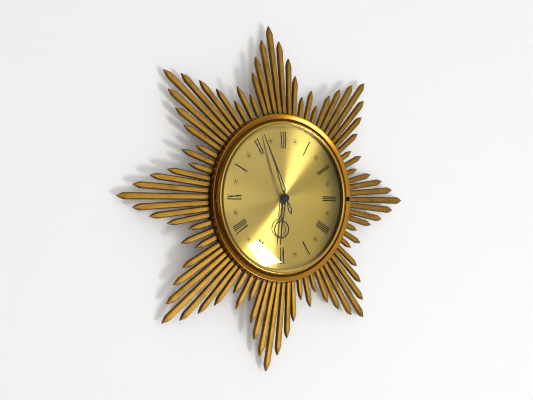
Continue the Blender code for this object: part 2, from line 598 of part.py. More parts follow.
def make_glass():
    profile = [(GLASS_RING_RADIUS, RING_FOOT), (GLASS_RING_RADIUS, 0.0456), (0.0981, 0.0483),
               (0.0942, 0.0485), (BEAD_INNER, RING_SEAT_HEIGHT), (RING_SEAT, RING_SEAT_HEIGHT),
               (RING_SEAT, RING_FOOT)]
    knuckle = upright_rod(HINGE_X, HINGE_HEIGHT, HINGE_RADIUS, -RING_KNUCKLE_HALF,
                          RING_KNUCKLE_HALF)
    web = block(HINGE_X, WEB_END, -RING_KNUCKLE_HALF, RING_KNUCKLE_HALF, WEB_LOW, WEB_HIGH)
    glass_ring = build("glass_ring", "bright_gold", turned(profile), joins=[web, knuckle],
                       cuts=[hinge_bore()])

    sphere = (CRYSTAL_EDGE ** 2 + CRYSTAL_RISE ** 2) / (2.0 * CRYSTAL_RISE)
    centre_height = CRYSTAL_RIM_HIGH + CRYSTAL_RISE - sphere
    shares = [k / CRYSTAL_FACETS for k in range(CRYSTAL_FACETS + 1)]

    def dome(edge, radius):
        """A cap's outline from its top to its edge, no lower than the rim's underside."""
        return [(edge * share, max(centre_height + math.sqrt(radius ** 2 - (edge * share) ** 2),
                                   CRYSTAL_RIM_LOW)) for share in shares]

    outside = dome(CRYSTAL_EDGE, sphere)
    inside = dome(CRYSTAL_EDGE - 0.0004, sphere - CRYSTAL_THICKNESS)
    rim = [(CRYSTAL_RIM, CRYSTAL_RIM_HIGH), (CRYSTAL_RIM, CRYSTAL_RIM_LOW)]
    crystal = build("crystal", "crystal", turned(outside + rim + inside[::-1], steps=CASE_STEPS))
    seal = build("crystal_seal", "seal",
                 ring(SEAL_INNER, CRYSTAL_RIM, RING_FOOT, SEAL_TOP, steps=CASE_STEPS))
    pivot("glass_ring_hinge", point(HINGE_X, 0.0, HINGE_HEIGHT), [glass_ring, crystal, seal])


# ---------------------------------------------------------------- dial and hands

def make_dial():
    build("dial_plate", "dial_brass", rod(CENTRE, DIAL_RADIUS, DIAL_LOW, DIAL_HIGH, LARGE_STEPS),
          cuts=[bore(CENTRE, DIAL_HOLE, DIAL_LOW, DIAL_HIGH, MEDIUM_STEPS)])
    build("dial_ring", "gold_metal",
          turned(((DIAL_RING_OUTER, DIAL_RING_LOW), (DIAL_RING_OUTER, DIAL_RING_HIGH),
                  (DIAL_RING_INNER + DIAL_RING_SLOPE, DIAL_RING_HIGH),
                  (DIAL_RING_INNER, DIAL_RING_LOW))))


def hand_blade(stations, height):
    """A flat blade along +Z from (distance, half width, half width of the cut-out) stations."""
    shape = bmesh.new()
    rows = []
    for along, half, hollow in stations:
        offsets = (-half, -hollow, hollow, half) if hollow else (-half, 0.0, 0.0, half)
        row = []
        for level in (height - HAND_THICKNESS / 2.0, height + HAND_THICKNESS / 2.0):
            places = [shape.verts.new(point(x, along, level)) for x in offsets[:2]]
            middle = shape.verts.new(point(offsets[2], along, level)) if hollow else places[1]
            row.append(places + [middle, shape.verts.new(point(offsets[3], along, level))])
        rows.append(row)
    for near, far in zip(rows, rows[1:]):
        for level in (0, 1):
            for a, b in ((0, 1), (2, 3)):
                shape.faces.new((near[level][a], near[level][b], far[level][b], far[level][a]))
        for k in (0, 3):
            shape.faces.new((near[0][k], near[1][k], far[1][k], far[0][k]))
        if near[0][1] is not near[0][2] or far[0][1] is not far[0][2]:
            for k in (1, 2):
                shape.faces.new((near[0][k], near[1][k], far[1][k], far[0][k]))
    for row in (rows[0], rows[-1]):
        for a, b in ((0, 1), (2, 3)):
            shape.faces.new((row[0][a], row[0][b], row[1][b], row[1][a]))
    return shape


def turn_hand(item, degrees):
    item.data.transform(Matrix.Rotation(math.radians(degrees), 4, 'Y'))


def boss_levels(height):
    return height - BOSS_THICKNESS / 2.0, height + BOSS_THICKNESS / 2.0


def bend_minute_hand(item):
    """The outer part leans towards the dial, to clear the edge of the domed glass."""
    for vert in item.data.vertices:
        if vert.co.z > BEND_START:
            share = (vert.co.z - BEND_START) / (MINUTE_TIP - BEND_START)
            vert.co.y += BEND_DROP * share ** BEND_POWER


def make_hands():
    blade = [(-0.0225, 0.0003, 0.0), (-0.0200, 0.0017, 0.0), (-0.0165, 0.0029, 0.0016),
             (-0.0100, 0.0018, 0.0006), (-0.0060, 0.0010, 0.0), (0.0060, 0.0010, 0.0),
             (0.0085, 0.0016, 0.0), (0.0120, 0.0034, 0.0020), (0.0260, 0.0025, 0.0013),
             (0.0400, 0.0016, 0.0), (0.0500, 0.0012, 0.0), (0.0600, 0.0010, 0.0),
             (0.0700, 0.0008, 0.0), (0.0790, 0.0006, 0.0), (MINUTE_TIP, 0.0003, 0.0)]
    levels = boss_levels(MINUTE_HEIGHT)
    minute = build("minute_hand", "black_enamel", hand_blade(blade, MINUTE_HEIGHT),
                   joins=[rod(CENTRE, MINUTE_BOSS, *levels, MEDIUM_STEPS)],
                   cuts=[bore(CENTRE, MINUTE_HOLE, *levels)])
    bend_minute_hand(minute)
    turn_hand(minute, MINUTE_ANGLE)

    stem = [(0.0030, 0.0026, 0.0), (0.0060, 0.0027, 0.0), (0.0090, 0.0025, 0.0013),
            (0.0250, 0.0020, 0.0009), (0.0290, 0.0016, 0.0), (0.0310, 0.0010, 0.0),
            (0.0500, 0.0008, 0.0), (0.0615, 0.0003, 0.0)]
    levels = boss_levels(HOUR_HEIGHT)
    half = HAND_THICKNESS / 2.0 + HOUR_RING_PROUD
    hour = build("hour_hand", "black_enamel", hand_blade(stem, HOUR_HEIGHT),
                 joins=[ring(HOUR_RING_INNER, HOUR_RING_OUTER, HOUR_HEIGHT - half,
                             HOUR_HEIGHT + half, (0.0, HOUR_RING_CENTRE), MEDIUM_STEPS),
                        rod(CENTRE, HOUR_BOSS, *levels, MEDIUM_STEPS)],
                 cuts=[bore(CENTRE, HOUR_HOLE, *levels, MEDIUM_STEPS)])
    turn_hand(hour, HOUR_ANGLE)

    nut = build("hand_nut", "black_enamel", rod(CENTRE, NUT_RADIUS, NUT_LOW, NUT_HIGH, 6),
                cuts=[rod(CENTRE, ARBOR + GAP, NUT_LOW - OVERCUT, NUT_HIGH - NUT_SKIN)])
    return minute, hour, nut


# ---------------------------------------------------------------- movement

def make_frame():
    """Two plates held apart by pillars, and the mount that carries them in the case."""
    def plate(name, levels, joins, cuts):
        build(name, "wheel_brass", block(-PLATE_X, PLATE_X, PLATE_BOTTOM, PLATE_TOP, *levels),
              joins=joins, cuts=cuts)

    def arbor_holes(axes, levels):
        return [bore(axis, ARBOR + GAP, *levels) for axis in axes]

    both = [THIRD_AXIS, INDEX_AXIS, BALANCE_AXIS, CENTRE]
    plate("movement_front_plate", FRONT_PLATE, [],
          arbor_holes(both + [MINUTE_WHEEL_AXIS], FRONT_PLATE)
          + [bore(KNOB_AXIS, KNOB_STEM_HOLE, *FRONT_PLATE)]
          + [bore(place, TENON_HOLE, *FRONT_PLATE) for place in PILLARS])

    shoulder = FRONT_PLATE[0] - GAP
    pillars = [rod(place, PILLAR_RADIUS, BACK_PLATE[0], shoulder) for place in PILLARS]
    tenons = [rod(place, TENON_RADIUS, shoulder - TENON_ROOT, FRONT_PLATE[1])
              for place in PILLARS]
    plate("movement_back_plate", BACK_PLATE, pillars + tenons,
          arbor_holes(both, BACK_PLATE) + [bore(KNOB_AXIS, KNOB_STEM_HOLE, *BACK_PLATE)])

    build("movement_mount", "steel", ring(MOUNT_INNER, MOUNT_OUTER, *MOUNT, steps=CASE_STEPS))


def toothed(teeth, module, centre, phase, levels):
    return prism(gear_outline(teeth, module, centre, phase), *levels)


def make_motion_work():
    """The wheels behind the dial; returns the sub-parts that turn with the two hands."""
    cannon_phase = pinion_phase = 0.0
    minute_axis = MINUTE_WHEEL_AXIS
    minute_phase = meshing_phase(CENTRE, CANNON_TEETH, cannon_phase, minute_axis, MINUTE_TEETH)
    knob_phase = meshing_phase(minute_axis, MINUTE_TEETH, minute_phase, KNOB_AXIS, KNOB_TEETH)
    hour_phase = meshing_phase(minute_axis, MINUTE_PINION_TEETH, pinion_phase, CENTRE,
                               HOUR_TEETH)

    cannon = build("cannon_pinion", "steel",
                   toothed(CANNON_TEETH, MOTION_MODULE, CENTRE, cannon_phase, CANNON_PINION),
                   joins=[rod(CENTRE, CANNON_PIPE, CANNON_PINION[1] - SINK, CANNON_PIPE_TOP)],
                   cuts=[bore(CENTRE, ARBOR + GAP, CANNON_PINION[0], CANNON_PIPE_TOP)])

    hour = build("hour_wheel", "wheel_brass",
                 toothed(HOUR_TEETH, HOUR_MODULE, CENTRE, hour_phase, HOUR_WHEEL),
                 joins=[rod(CENTRE, HOUR_PIPE, HOUR_WHEEL[1] - SINK, HOUR_PIPE_TOP,
                            MEDIUM_STEPS)],
                 cuts=[bore(CENTRE, HOUR_PIPE_HOLE, HOUR_WHEEL[0], HOUR_PIPE_TOP)])

    minute = build("minute_wheel", "wheel_brass",
                   toothed(MINUTE_TEETH, MOTION_MODULE, minute_axis, minute_phase, MINUTE_WHEEL),
                   joins=[toothed(MINUTE_PINION_TEETH, HOUR_MODULE, minute_axis, pinion_phase,
                                  MINUTE_PINION),
                          rod(minute_axis, ARBOR, FRONT_PLATE[0], MINUTE_WHEEL[0] + SINK)])
    pivot("minute_wheel_axis", point(*minute_axis, 0.0), [minute])

    knob = build("setting_knob", "black_plastic",
                 rod(KNOB_AXIS, KNOB_RADIUS, *KNOB_HEAD, MEDIUM_STEPS),
                 joins=[rod(KNOB_AXIS, KNOB_STEM, KNOB_HEAD[1] - SINK, CANNON_PINION[0] + SINK),
                        toothed(KNOB_TEETH, MOTION_MODULE, KNOB_AXIS, knob_phase,
                                CANNON_PINION)])
    pivot("setting_knob_axis", point(*KNOB_AXIS, 0.0), [knob])
    return cannon, hour


def ratchet_outline(axis):
    """Saw teeth: a slow rise and a short fall."""
    outline = []
    for tooth in range(INDEX_TEETH):
        for radius, offset in ((INDEX_ROOT, 0.0), (INDEX_TIP, INDEX_LEAN)):
            angle = TURN * (tooth + offset) / INDEX_TEETH
            outline.append((axis[0] + radius * math.cos(angle),
                            axis[1] + radius * math.sin(angle)))
    return outline


def make_train():
    """The wheels between the balance and the minute hand; returns the centre wheel."""
    centre_phase = third_phase = 0.0
    third_pinion_phase = meshing_phase(CENTRE, CENTRE_TEETH, centre_phase, THIRD_AXIS,
                                       THIRD_PINION_TEETH)
    index_pinion_phase = meshing_phase(THIRD_AXIS, THIRD_TEETH, third_phase, INDEX_AXIS,
                                       INDEX_PINION_TEETH)
    centre = build("centre_wheel", "wheel_brass",
                   toothed(CENTRE_TEETH, TRAIN_MODULE, CENTRE, centre_phase, CENTRE_WHEEL),
                   joins=[rod(CENTRE, ARBOR, ARBOR_FOOT, CENTRE_ARBOR_TOP)])

    third = build("third_wheel", "wheel_brass",
                  toothed(THIRD_TEETH, TRAIN_MODULE, THIRD_AXIS, third_phase, THIRD_WHEEL),
                  joins=[toothed(THIRD_PINION_TEETH, TRAIN_MODULE, THIRD_AXIS,
                                 third_pinion_phase, THIRD_PINION),
                         rod(THIRD_AXIS, ARBOR, ARBOR_FOOT, FRONT_PLATE[1])])
    pivot("third_wheel_axis", point(*THIRD_AXIS, 0.0), [third])

    index = build("index_wheel", "nylon", prism(ratchet_outline(INDEX_AXIS), *INDEX_WHEEL),
                  joins=[toothed(INDEX_PINION_TEETH, TRAIN_MODULE, INDEX_AXIS,
                                 index_pinion_phase, INDEX_PINION),
                         rod(INDEX_AXIS, INDEX_ARBOR, ARBOR_FOOT, FRONT_PLATE[1])])
    pivot("index_wheel_axis", point(*INDEX_AXIS, 0.0), [index])
    return centre


def make_balance():
    """Two spoked discs with magnets, which swing on either side of the coil."""
    x, z = BALANCE_AXIS
    joins = []
    for low in BALANCE_LEVELS:
        levels = (low, low + BALANCE_DISC)
        joins += [rod(BALANCE_AXIS, BALANCE_HUB, *levels),
                  block(x - BALANCE_RIM_OUTER + 0.0010, x + BALANCE_RIM_OUTER - 0.0010,
                        z - SPOKE_HALF, z + SPOKE_HALF, *levels),
                  ring(BALANCE_RIM_INNER, BALANCE_RIM_OUTER, *levels, BALANCE_AXIS,
                       MEDIUM_STEPS)]
    joins += [rod((x + side * MAGNET_CIRCLE, z), MAGNET_RADIUS, low, low + MAGNET_THICKNESS)
              for side in (-1, 1) for low in MAGNET_LEVELS]
    joins.append(block(x - ROLLER_LENGTH, x, z - ROLLER_HALF, z + ROLLER_HALF, *ROLLER))
    balance = build("balance_wheel", "wheel_brass",
                    rod(BALANCE_AXIS, BALANCE_STAFF, ARBOR_FOOT, FRONT_PLATE[1]), joins=joins)
    pivot("balance_axis", point(x, z, 0.0), [balance])


def make_hairspring():
    count = int(SPRING_TURNS * SPRING_STEPS)

    def spiral(offset):
        line = []
        for k in range(count + 1):
            radius = SPRING_INNER + (SPRING_OUTER - SPRING_INNER) * k / count + offset
            angle = TURN * k / SPRING_STEPS
            line.append((BALANCE_AXIS[0] + radius * math.cos(angle),
                         BALANCE_AXIS[1] + radius * math.sin(angle)))
        return line

    outline = spiral(-SPRING_HALF_WIDTH) + spiral(SPRING_HALF_WIDTH)[::-1]
    build("hairspring", "steel", prism(outline, *HAIRSPRING))


def make_electrics():
    """The coil between the balance's discs and the board that feeds it."""
    coil = (BALANCE_AXIS[0] - COIL_OFFSET, BALANCE_AXIS[1])
    build("drive_coil", "copper_wire", ring(COIL_INNER, COIL_OUTER, *COIL, coil, MEDIUM_STEPS))
    foot = BOARD[1] - SINK
    build("circuit_board", "circuit_laminate", block(*BOARD_X, *BOARD_Z, *BOARD),
          joins=[rod(CAPACITOR, CAPACITOR_RADIUS, foot, CAPACITOR_TOP),
                 block(*CHIP_X, *CHIP_Z, foot, CHIP_TOP)])


def make_regulator():
    x, z = BALANCE_AXIS
    lever = build("regulator_lever", "steel",
                  ring(LEVER_INNER, LEVER_OUTER, *REGULATOR, BALANCE_AXIS, MEDIUM_STEPS),
                  joins=[block(x - LEVER_HALF, x + LEVER_HALF, z + LEVER_OUTER - 0.0010,
                               z + LEVER_REACH, *REGULATOR),
                         rod((x, z + LEVER_PIN), LEVER_PIN_RADIUS, LEVER_PIN_FOOT,
                             REGULATOR[1])])
    pivot("regulator_axis", point(x, z, 0.0), [lever])


def make_battery():
    shell = block(-BAY_HALF_X, BAY_HALF_X, BATTERY_Z - BAY_HALF_Z, BATTERY_Z + BAY_HALF_Z,
                  TRAY_LOW, TRAY_HIGH)
    inner_x, inner_z = BAY_HALF_X - TRAY_WALL, BAY_HALF_Z - TRAY_WALL
    hollow = block(-inner_x, inner_x, BATTERY_Z - inner_z, BATTERY_Z + inner_z,
                   TRAY_LOW - OVERCUT, TRAY_HIGH - TRAY_WALL)
    posts = [rod((side * TRAY_POST_X, BATTERY_Z), TRAY_POST_RADIUS, TRAY_HIGH - SINK,
                 MOUNT[0] - GAP) for side in (-1, 1)]
    build("battery_tray", "black_plastic", shell, joins=posts, cuts=[hollow])

    half = BATTERY_LENGTH / 2.0
    shoulder = half - TERMINAL_LENGTH
    build("battery", "battery_jacket", battery_rod(-half, shoulder, BATTERY_RADIUS, 32),
          joins=[battery_rod(shoulder - SINK, half, TERMINAL_RADIUS, 16)])

    wall = inner_x - GAP
    face = wall - CONTACT_THICKNESS
    for name, side in (("contact_positive", 1), ("contact_negative", -1)):
        strip_x = sorted((side * face, side * wall))
        pad_x = sorted((side * (half + GAP), side * (face + SINK)))
        build(name, "steel",
              block(*strip_x, BATTERY_Z - CONTACT_HALF, BATTERY_Z + CONTACT_HALF, CONTACT_LOW,
                    CONTACT_HIGH),
              joins=[block(*pad_x, BATTERY_Z - CONTACT_PAD_HALF, BATTERY_Z + CONTACT_PAD_HALF,
                           BATTERY_HEIGHT - CONTACT_THICKNESS,
                           BATTERY_HEIGHT + CONTACT_THICKNESS)])


# ---------------------------------------------------------------- whole clock

def main():
    clear_scene()
    make_star()
    make_case()
    make_bezel()
    make_back_cover()
    make_hanger()
    make_battery_door()
    make_glass()
    make_dial()
    minute_hand, hour_hand, nut = make_hands()
    make_frame()
    cannon, hour_wheel = make_motion_work()
    centre = make_train()
    pivot("minute_hand_axis", point(*CENTRE, 0.0), [minute_hand, nut, cannon, centre])
    pivot("hour_hand_axis", point(*CENTRE, 0.0), [hour_hand, hour_wheel])
    make_balance()
    make_hairspring()
    make_electrics()
    make_regulator()
    make_battery()


main()
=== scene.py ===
"""The looks of the sunburst wall clock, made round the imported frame.

The wall is the plane y = 0.  The dial looks along -Y, +X is to the right of somebody reading
it and +Z is up.  A height is a distance in front of the wall, so height h lies at y = -h.
Angles on the dial are in degrees, clockwise from twelve o'clock.  All lengths are in metres.
"""

import json
import math
import random

import bmesh
import bpy
from mathutils import Matrix, Vector


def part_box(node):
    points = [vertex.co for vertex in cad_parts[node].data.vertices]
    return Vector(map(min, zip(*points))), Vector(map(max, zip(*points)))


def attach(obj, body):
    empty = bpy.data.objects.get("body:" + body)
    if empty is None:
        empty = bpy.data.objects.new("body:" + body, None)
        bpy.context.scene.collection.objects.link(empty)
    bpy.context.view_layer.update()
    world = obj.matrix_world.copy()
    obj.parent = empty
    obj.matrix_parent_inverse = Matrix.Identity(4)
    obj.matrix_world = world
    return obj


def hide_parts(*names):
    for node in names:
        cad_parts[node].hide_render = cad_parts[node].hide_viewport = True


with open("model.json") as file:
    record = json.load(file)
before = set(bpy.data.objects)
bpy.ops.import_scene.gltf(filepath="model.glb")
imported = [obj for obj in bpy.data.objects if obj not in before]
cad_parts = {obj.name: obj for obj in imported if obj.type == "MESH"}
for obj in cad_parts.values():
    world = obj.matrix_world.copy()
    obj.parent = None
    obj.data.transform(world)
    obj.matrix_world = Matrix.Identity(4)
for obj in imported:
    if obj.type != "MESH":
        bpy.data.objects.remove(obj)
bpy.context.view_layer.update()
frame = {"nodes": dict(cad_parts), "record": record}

TURN = 2.0 * math.pi
MM = 0.001
FINE, ROUND, SMALL = 256, 96, 32        # steps round large, medium and small turned pieces
CENTRE = (0.0, 0.0)
SLOTS = {row["node"]: row["material_slot"] for row in frame["record"]["subparts"]}
BODIES = {node: body for body, nodes in frame["record"]["behaviour"]["bodies"].items()
          for node in nodes}


# ------ sizes read from the frame

def heights(node):
    """The least and the greatest height of a CAD node."""
    low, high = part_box(node)
    return -high.y, -low.y


def reach(node):
    """The largest radius of a CAD node about the hands' axis."""
    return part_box(node)[1].x


def middle(node):
    """(x, z) of the middle of a CAD node."""
    low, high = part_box(node)
    return ((low.x + high.x) / 2.0, (low.z + high.z) / 2.0)


def polar(radius, degrees, centre=CENTRE):
    angle = math.radians(degrees)
    return (centre[0] + radius * math.sin(angle), centre[1] + radius * math.cos(angle))


# ------ shapes

UPRIGHT = Matrix(((1, 0, 0, 0), (0, 0, -1, 0), (0, 1, 0, 0), (0, 0, 0, 1)))      # Y becomes Z


def point(x, z, height):
    return Vector((x, -height, z))


def place_in_scene(name, data):
    item = bpy.data.objects.new(name, data)
    bpy.context.scene.collection.objects.link(item)
    return item


def to_object(shape, name):
    bmesh.ops.remove_doubles(shape, verts=shape.verts, dist=1e-6)
    bmesh.ops.recalc_face_normals(shape, faces=shape.faces)
    mesh = bpy.data.meshes.new(name)
    shape.to_mesh(mesh)
    shape.free()
    return place_in_scene(name, mesh)


def sheet(name, corners):
    """One flat face, whose front is the side its corners run anticlockwise on."""
    mesh = bpy.data.meshes.new(name)
    mesh.from_pydata(corners, [], [range(len(corners))])
    return place_in_scene(name, mesh)


def turn(item, degrees):
    """Turns a mesh about the hands' axis."""
    item.data.transform(Matrix.Rotation(math.radians(degrees), 4, 'Y'))


def smooth(item, degrees=32.0):
    item.data.shade_smooth()
    item.data.set_sharp_from_angle(angle=math.radians(degrees))
    return item


def soften(item, width):
    """Small rounded edges."""
    bevel = item.modifiers.new("edges", 'BEVEL')
    bevel.width = width
    bevel.segments = 2
    bevel.limit_method = 'ANGLE'
    bevel.angle_limit = math.radians(40.0)
    bevel.harden_normals = True
    return item


def combine(target, tools, operation='DIFFERENCE'):
    """Cuts objects out of the target, or joins them to it."""
    for tool in tools:
        modifier = target.modifiers.new(operation, 'BOOLEAN')
        modifier.operation = operation
        modifier.solver = 'EXACT'
        modifier.object = tool
        graph = bpy.context.evaluated_depsgraph_get()
        result = bpy.data.meshes.new_from_object(target.evaluated_get(graph))
        target.modifiers.clear()
        target.data = result
        bpy.data.objects.remove(tool)
    return target


def rounded(corners, radius, closed=True, steps=4):
    """An outline whose corners are short curves; an open one keeps its two ends."""
    points = [Vector(corner) for corner in corners]
    outline = []
    for index, corner in enumerate(points):
        if not closed and index in (0, len(points) - 1):
            outline.append(corner)
            continue
        before = points[index - 1] - corner
        after = points[(index + 1) % len(points)] - corner
        cut = min(radius, 0.45 * before.length, 0.45 * after.length)
        start, end = corner + before.normalized() * cut, corner + after.normalized() * cut
        for k in range(steps + 1):
            t = k / steps
            outline.append(start * (1 - t) ** 2 + corner * (2 * t * (1 - t)) + end * t ** 2)
    return outline


def lathe(name, profile, centre=CENTRE, steps=FINE, closed=True):
    """Turns an outline of (radius, height) about an axis along Y."""
    shape = bmesh.new()
    rows = []
    for k in range(steps):
        x, z = math.cos(TURN * k / steps), math.sin(TURN * k / steps)
        rows.append([shape.verts.new(point(centre[0] + r * x, centre[1] + r * z, h))
                     for r, h in profile])
    count = len(profile) if closed else len(profile) - 1
    for k in range(steps):
        near, far = rows[k], rows[(k + 1) % steps]
        for i in range(count):
            j = (i + 1) % len(profile)
            shape.faces.new((near[i], near[j], far[j], far[i]))
    bmesh.ops.dissolve_degenerate(shape, dist=1e-7, edges=shape.edges)
    return smooth(to_object(shape, name))


def circle(centre, radius, steps=SMALL):
    return [polar(radius, 360.0 * k / steps, centre) for k in range(steps)]


def plate(name, loops, low, high):
    """A piece cut from sheet: outlines of (x, z), the first outside and the rest holes."""
    curve = bpy.data.curves.new(name, 'CURVE')
    curve.dimensions = '2D'
    curve.fill_mode = 'BOTH'
    curve.extrude = (high - low) / 2.0
    for loop in loops:
        spline = curve.splines.new('POLY')
        spline.points.add(len(loop) - 1)
        for place, (x, z) in zip(spline.points, loop):
            place.co = (x, z, 0.0, 1.0)
        spline.use_cyclic_u = True
    drawn = place_in_scene(name, curve)
    graph = bpy.context.evaluated_depsgraph_get()
    mesh = bpy.data.meshes.new_from_object(drawn.evaluated_get(graph))
    bpy.data.objects.remove(drawn)
    mesh.transform(Matrix.Translation(point(0.0, 0.0, (low + high) / 2.0)) @ UPRIGHT)
    shape = bmesh.new()
    shape.from_mesh(mesh)
    bpy.data.meshes.remove(mesh)
    return to_object(shape, name)


def rod(centre, radius, low, high, steps=SMALL):
    return plate("rod", [circle(centre, radius, steps)], low, high)


def rectangle(low_x, high_x, low_z, high_z):
    return ((low_x, low_z), (high_x, low_z), (high_x, high_z), (low_x, high_z))


def block(low_x, high_x, low_z, high_z, low, high):
    return plate("block", [rectangle(low_x, high_x, low_z, high_z)], low, high)


def upright_rod(x, height, radius, low_z, high_z):
    """A cylinder along Z."""
    item = rod((x, height), radius, -high_z, -low_z)
    item.data.transform(UPRIGHT)
    return item


# ------ material tools

def new_material(name, colour, metallic=0.0, roughness=0.5, **values):
    material = bpy.data.materials.new(name)
    material.use_nodes = True
    tree = material.node_tree
    shader = tree.nodes["Principled BSDF"]
    values.update({"Base Color": (*colour, 1.0), "Metallic": metallic, "Roughness": roughness})
    for key, value in values.items():
        shader.inputs[key.replace("_", " ")].default_value = value
    return material, tree, shader


def add(tree, kind, inputs=None, **properties):
    """A node with its inputs, each a value or another node's output."""
    node = tree.nodes.new("ShaderNode" + kind)
    for key, value in properties.items():
        setattr(node, key, value)
    for key, value in (inputs or {}).items():
        if isinstance(value, bpy.types.NodeSocket):
            tree.links.new(value, node.inputs[key])
        else:
            node.inputs[key].default_value = value
    return node


def maths(tree, operation, first, second=0.0):
    return add(tree, "Math", {0: first, 1: second}, operation=operation).outputs[0]


def product(tree, first, *others):
    for other in others:
        first = maths(tree, 'MULTIPLY', first, other)
    return first


def object_place(tree):
    return add(tree, "TexCoord").outputs["Object"]


def coordinate(tree, axis):
    return add(tree, "SeparateXYZ", {"Vector": object_place(tree)}).outputs[axis]


def noise(tree, scale, detail=4.0, roughness=0.55, vector=None):
    """Noise over the object, or over a vector of its own."""
    inputs = {"Vector": vector or object_place(tree), "Scale": scale, "Detail": detail,
              "Roughness": roughness}
    return add(tree, "TexNoise", inputs).outputs[0]


def remap(tree, value, from_low, from_high, to_low=0.0, to_high=1.0, smoothly=False):
    kind = 'SMOOTHSTEP' if smoothly else 'LINEAR'
    inputs = {"Value": value, "From Min": from_low, "From Max": from_high, "To Min": to_low,
              "To Max": to_high}
    return add(tree, "MapRange", inputs, interpolation_type=kind).outputs["Result"]


def mix_colour(tree, share, first, second):
    inputs = {0: share}
    for index, colour in ((6, first), (7, second)):
        inputs[index] = colour if isinstance(colour, bpy.types.NodeSocket) else (*colour, 1.0)
    return add(tree, "Mix", inputs, data_type='RGBA').outputs[2]


def spread(tree, value, low, high, first, second, most=1.0):
    """The first colour where the value is low, with up to most of the second where it is high."""
    return mix_colour(tree, remap(tree, value, low, high, 0.0, most), first, second)


def paint(tree, shader, tone, grain=None, smoothest=0.0, roughest=1.0):
    """The colour of a material and, where a grain is given, a roughness that follows it."""
    tree.links.new(tone, shader.inputs["Base Color"])
    if grain is not None:
        varied = remap(tree, grain, 0.3, 0.7, smoothest, roughest)
        tree.links.new(varied, shader.inputs["Roughness"])


def surface(tree, shader):
    tree.links.new(shader.outputs[0], tree.nodes["Material Output"].inputs["Surface"])


def blank_material(name):
    """A material whose tree holds only its output."""
    material, tree, shader = new_material(name, (0.0, 0.0, 0.0))
    tree.nodes.remove(shader)
    return material, tree


def bump(tree, shader, height, strength, distance):
    node = add(tree, "Bump", {"Height": height, "Strength": strength, "Distance": distance})
    tree.links.new(node.outputs["Normal"], shader.inputs["Normal"])


def turned_place(tree, centre=CENTRE):
    """(radius, angle, height) about an axis along Y, for marks left by a lathe."""
    x = maths(tree, 'SUBTRACT', coordinate(tree, "X"), centre[0])
    z = maths(tree, 'SUBTRACT', coordinate(tree, "Z"), centre[1])
    radius = maths(tree, 'SQRT', maths(tree, 'ADD', product(tree, x, x), product(tree, z, z)))
    return radius, maths(tree, 'ARCTAN2', x, z), coordinate(tree, "Y")


def turning_marks(tree, pitch, run):
    """Fine concentric scratches, each broken into arcs."""
    radius, angle, height = turned_place(tree)
    vector = add(tree, "CombineXYZ", {"X": maths(tree, 'DIVIDE', radius, pitch),
                                      "Y": product(tree, angle, run),
                                      "Z": maths(tree, 'DIVIDE', height, pitch)})
    return noise(tree, 1.0, detail=5.0, roughness=0.7, vector=vector.outputs[0])


# ------ materials

# a dark brown used only for painted shade, on the bezel, the glass ring, the dial ring and the dial
SHADE_TONE = (0.050, 0.026, 0.006)
BEAD_INNER, BEAD_OUTER = 0.0949, 0.0983                         # radii
NOTCH_INNER, NOTCH_OUTER, NOTCH_HALF = 0.1005, 0.1058, 0.0030   # along X, and half along Z


def round_tangent(tree):
    return add(tree, "Tangent", direction_type='RADIAL', axis='Y').outputs[0]


def brushed_round(name, colour, roughness, anisotropy, pitch, strength, painted_shade, **values):
    """Metal with circular brushing round the hands' axis; the function given last paints shade over
    its tone.
    """
    material, tree, shader = new_material(name, colour, 1.0, roughness, **values)
    shader.inputs["Anisotropic"].default_value = anisotropy
    shader.inputs["Anisotropic Rotation"].default_value = 0.25
    tree.links.new(round_tangent(tree), shader.inputs["Tangent"])
    marks = turning_marks(tree, pitch, 2.5)
    wear = noise(tree, 28.0, detail=6.0)
    darker = tuple(channel * 0.80 for channel in colour)
    worn = (colour[0] * 0.72, colour[1] * 0.62, colour[2] * 0.5)
    tone = spread(tree, wear, 0.35, 0.75, spread(tree, marks, 0.3, 0.7, darker, colour), worn, 0.35)
    paint(tree, shader, painted_shade(tree, tone), wear, roughness * 0.85, roughness * 1.2)
    bump(tree, shader, marks, strength, 0.00004)
    return material


RAY_VALUES = ("across", "along", "seed")       # what each vertex of a ray carries


def make_ray_metal():
    """Satin brass under brown patina, with painted shade darkening the sides of each ray and the
    crown left bright.
    """
    material, tree, shader = new_material("patinated_brass", (0.36, 0.21, 0.05), 0.86, 0.42)
    across, along, seed = (add(tree, "Attribute", attribute_name=name).outputs["Fac"]
                           for name in RAY_VALUES)
    grain_place = add(tree, "CombineXYZ", {"X": product(tree, across, 6.0),
                                           "Y": product(tree, along, 60.0),
                                           "Z": product(tree, seed, 37.0)})
    grain = noise(tree, 1.0, detail=7.0, roughness=0.6, vector=grain_place.outputs[0])
    patches = noise(tree, 55.0, detail=6.0)
    edge = remap(tree, maths(tree, 'ABSOLUTE', across), 0.38, 0.92, smoothly=True)
    tone = spread(tree, grain, 0.32, 0.68, (0.30, 0.150, 0.018), (0.60, 0.335, 0.046))
    tone = spread(tree, seed, 0.0, 1.0, tone, (0.22, 0.12, 0.024), 0.28)
    tone = spread(tree, patches, 0.50, 0.72, tone, (0.16, 0.09, 0.020), 0.55)
    # painted shade down both sides of each ray
    tone = mix_colour(tree, product(tree, edge, 0.85), tone, (0.12, 0.066, 0.015))
    paint(tree, shader, tone, grain, 0.44, 0.60)
    bump(tree, shader, grain, 0.35, 0.00012)
    return material


def shade_bezel(tree, tone):
    """Painted shade darkening the bezel towards nine o'clock, and painted shade inside the finger
    notch.
    """
    x, z = coordinate(tree, "X"), coordinate(tree, "Z")
    tone = mix_colour(tree, remap(tree, x, -0.088, -0.102, 0.0, 0.6, True), tone, SHADE_TONE)
    # painted shade in the recess of the finger notch
    inside = product(tree, remap(tree, x, NOTCH_INNER - 0.0002, NOTCH_INNER),
                     remap(tree, x, NOTCH_OUTER, NOTCH_OUTER + 0.0001, 1.0, 0.0),
                     remap(tree, maths(tree, 'ABSOLUTE', z), NOTCH_HALF, NOTCH_HALF + 0.00003,
                           1.0, 0.0))
    return mix_colour(tree, inside, tone, SHADE_TONE)


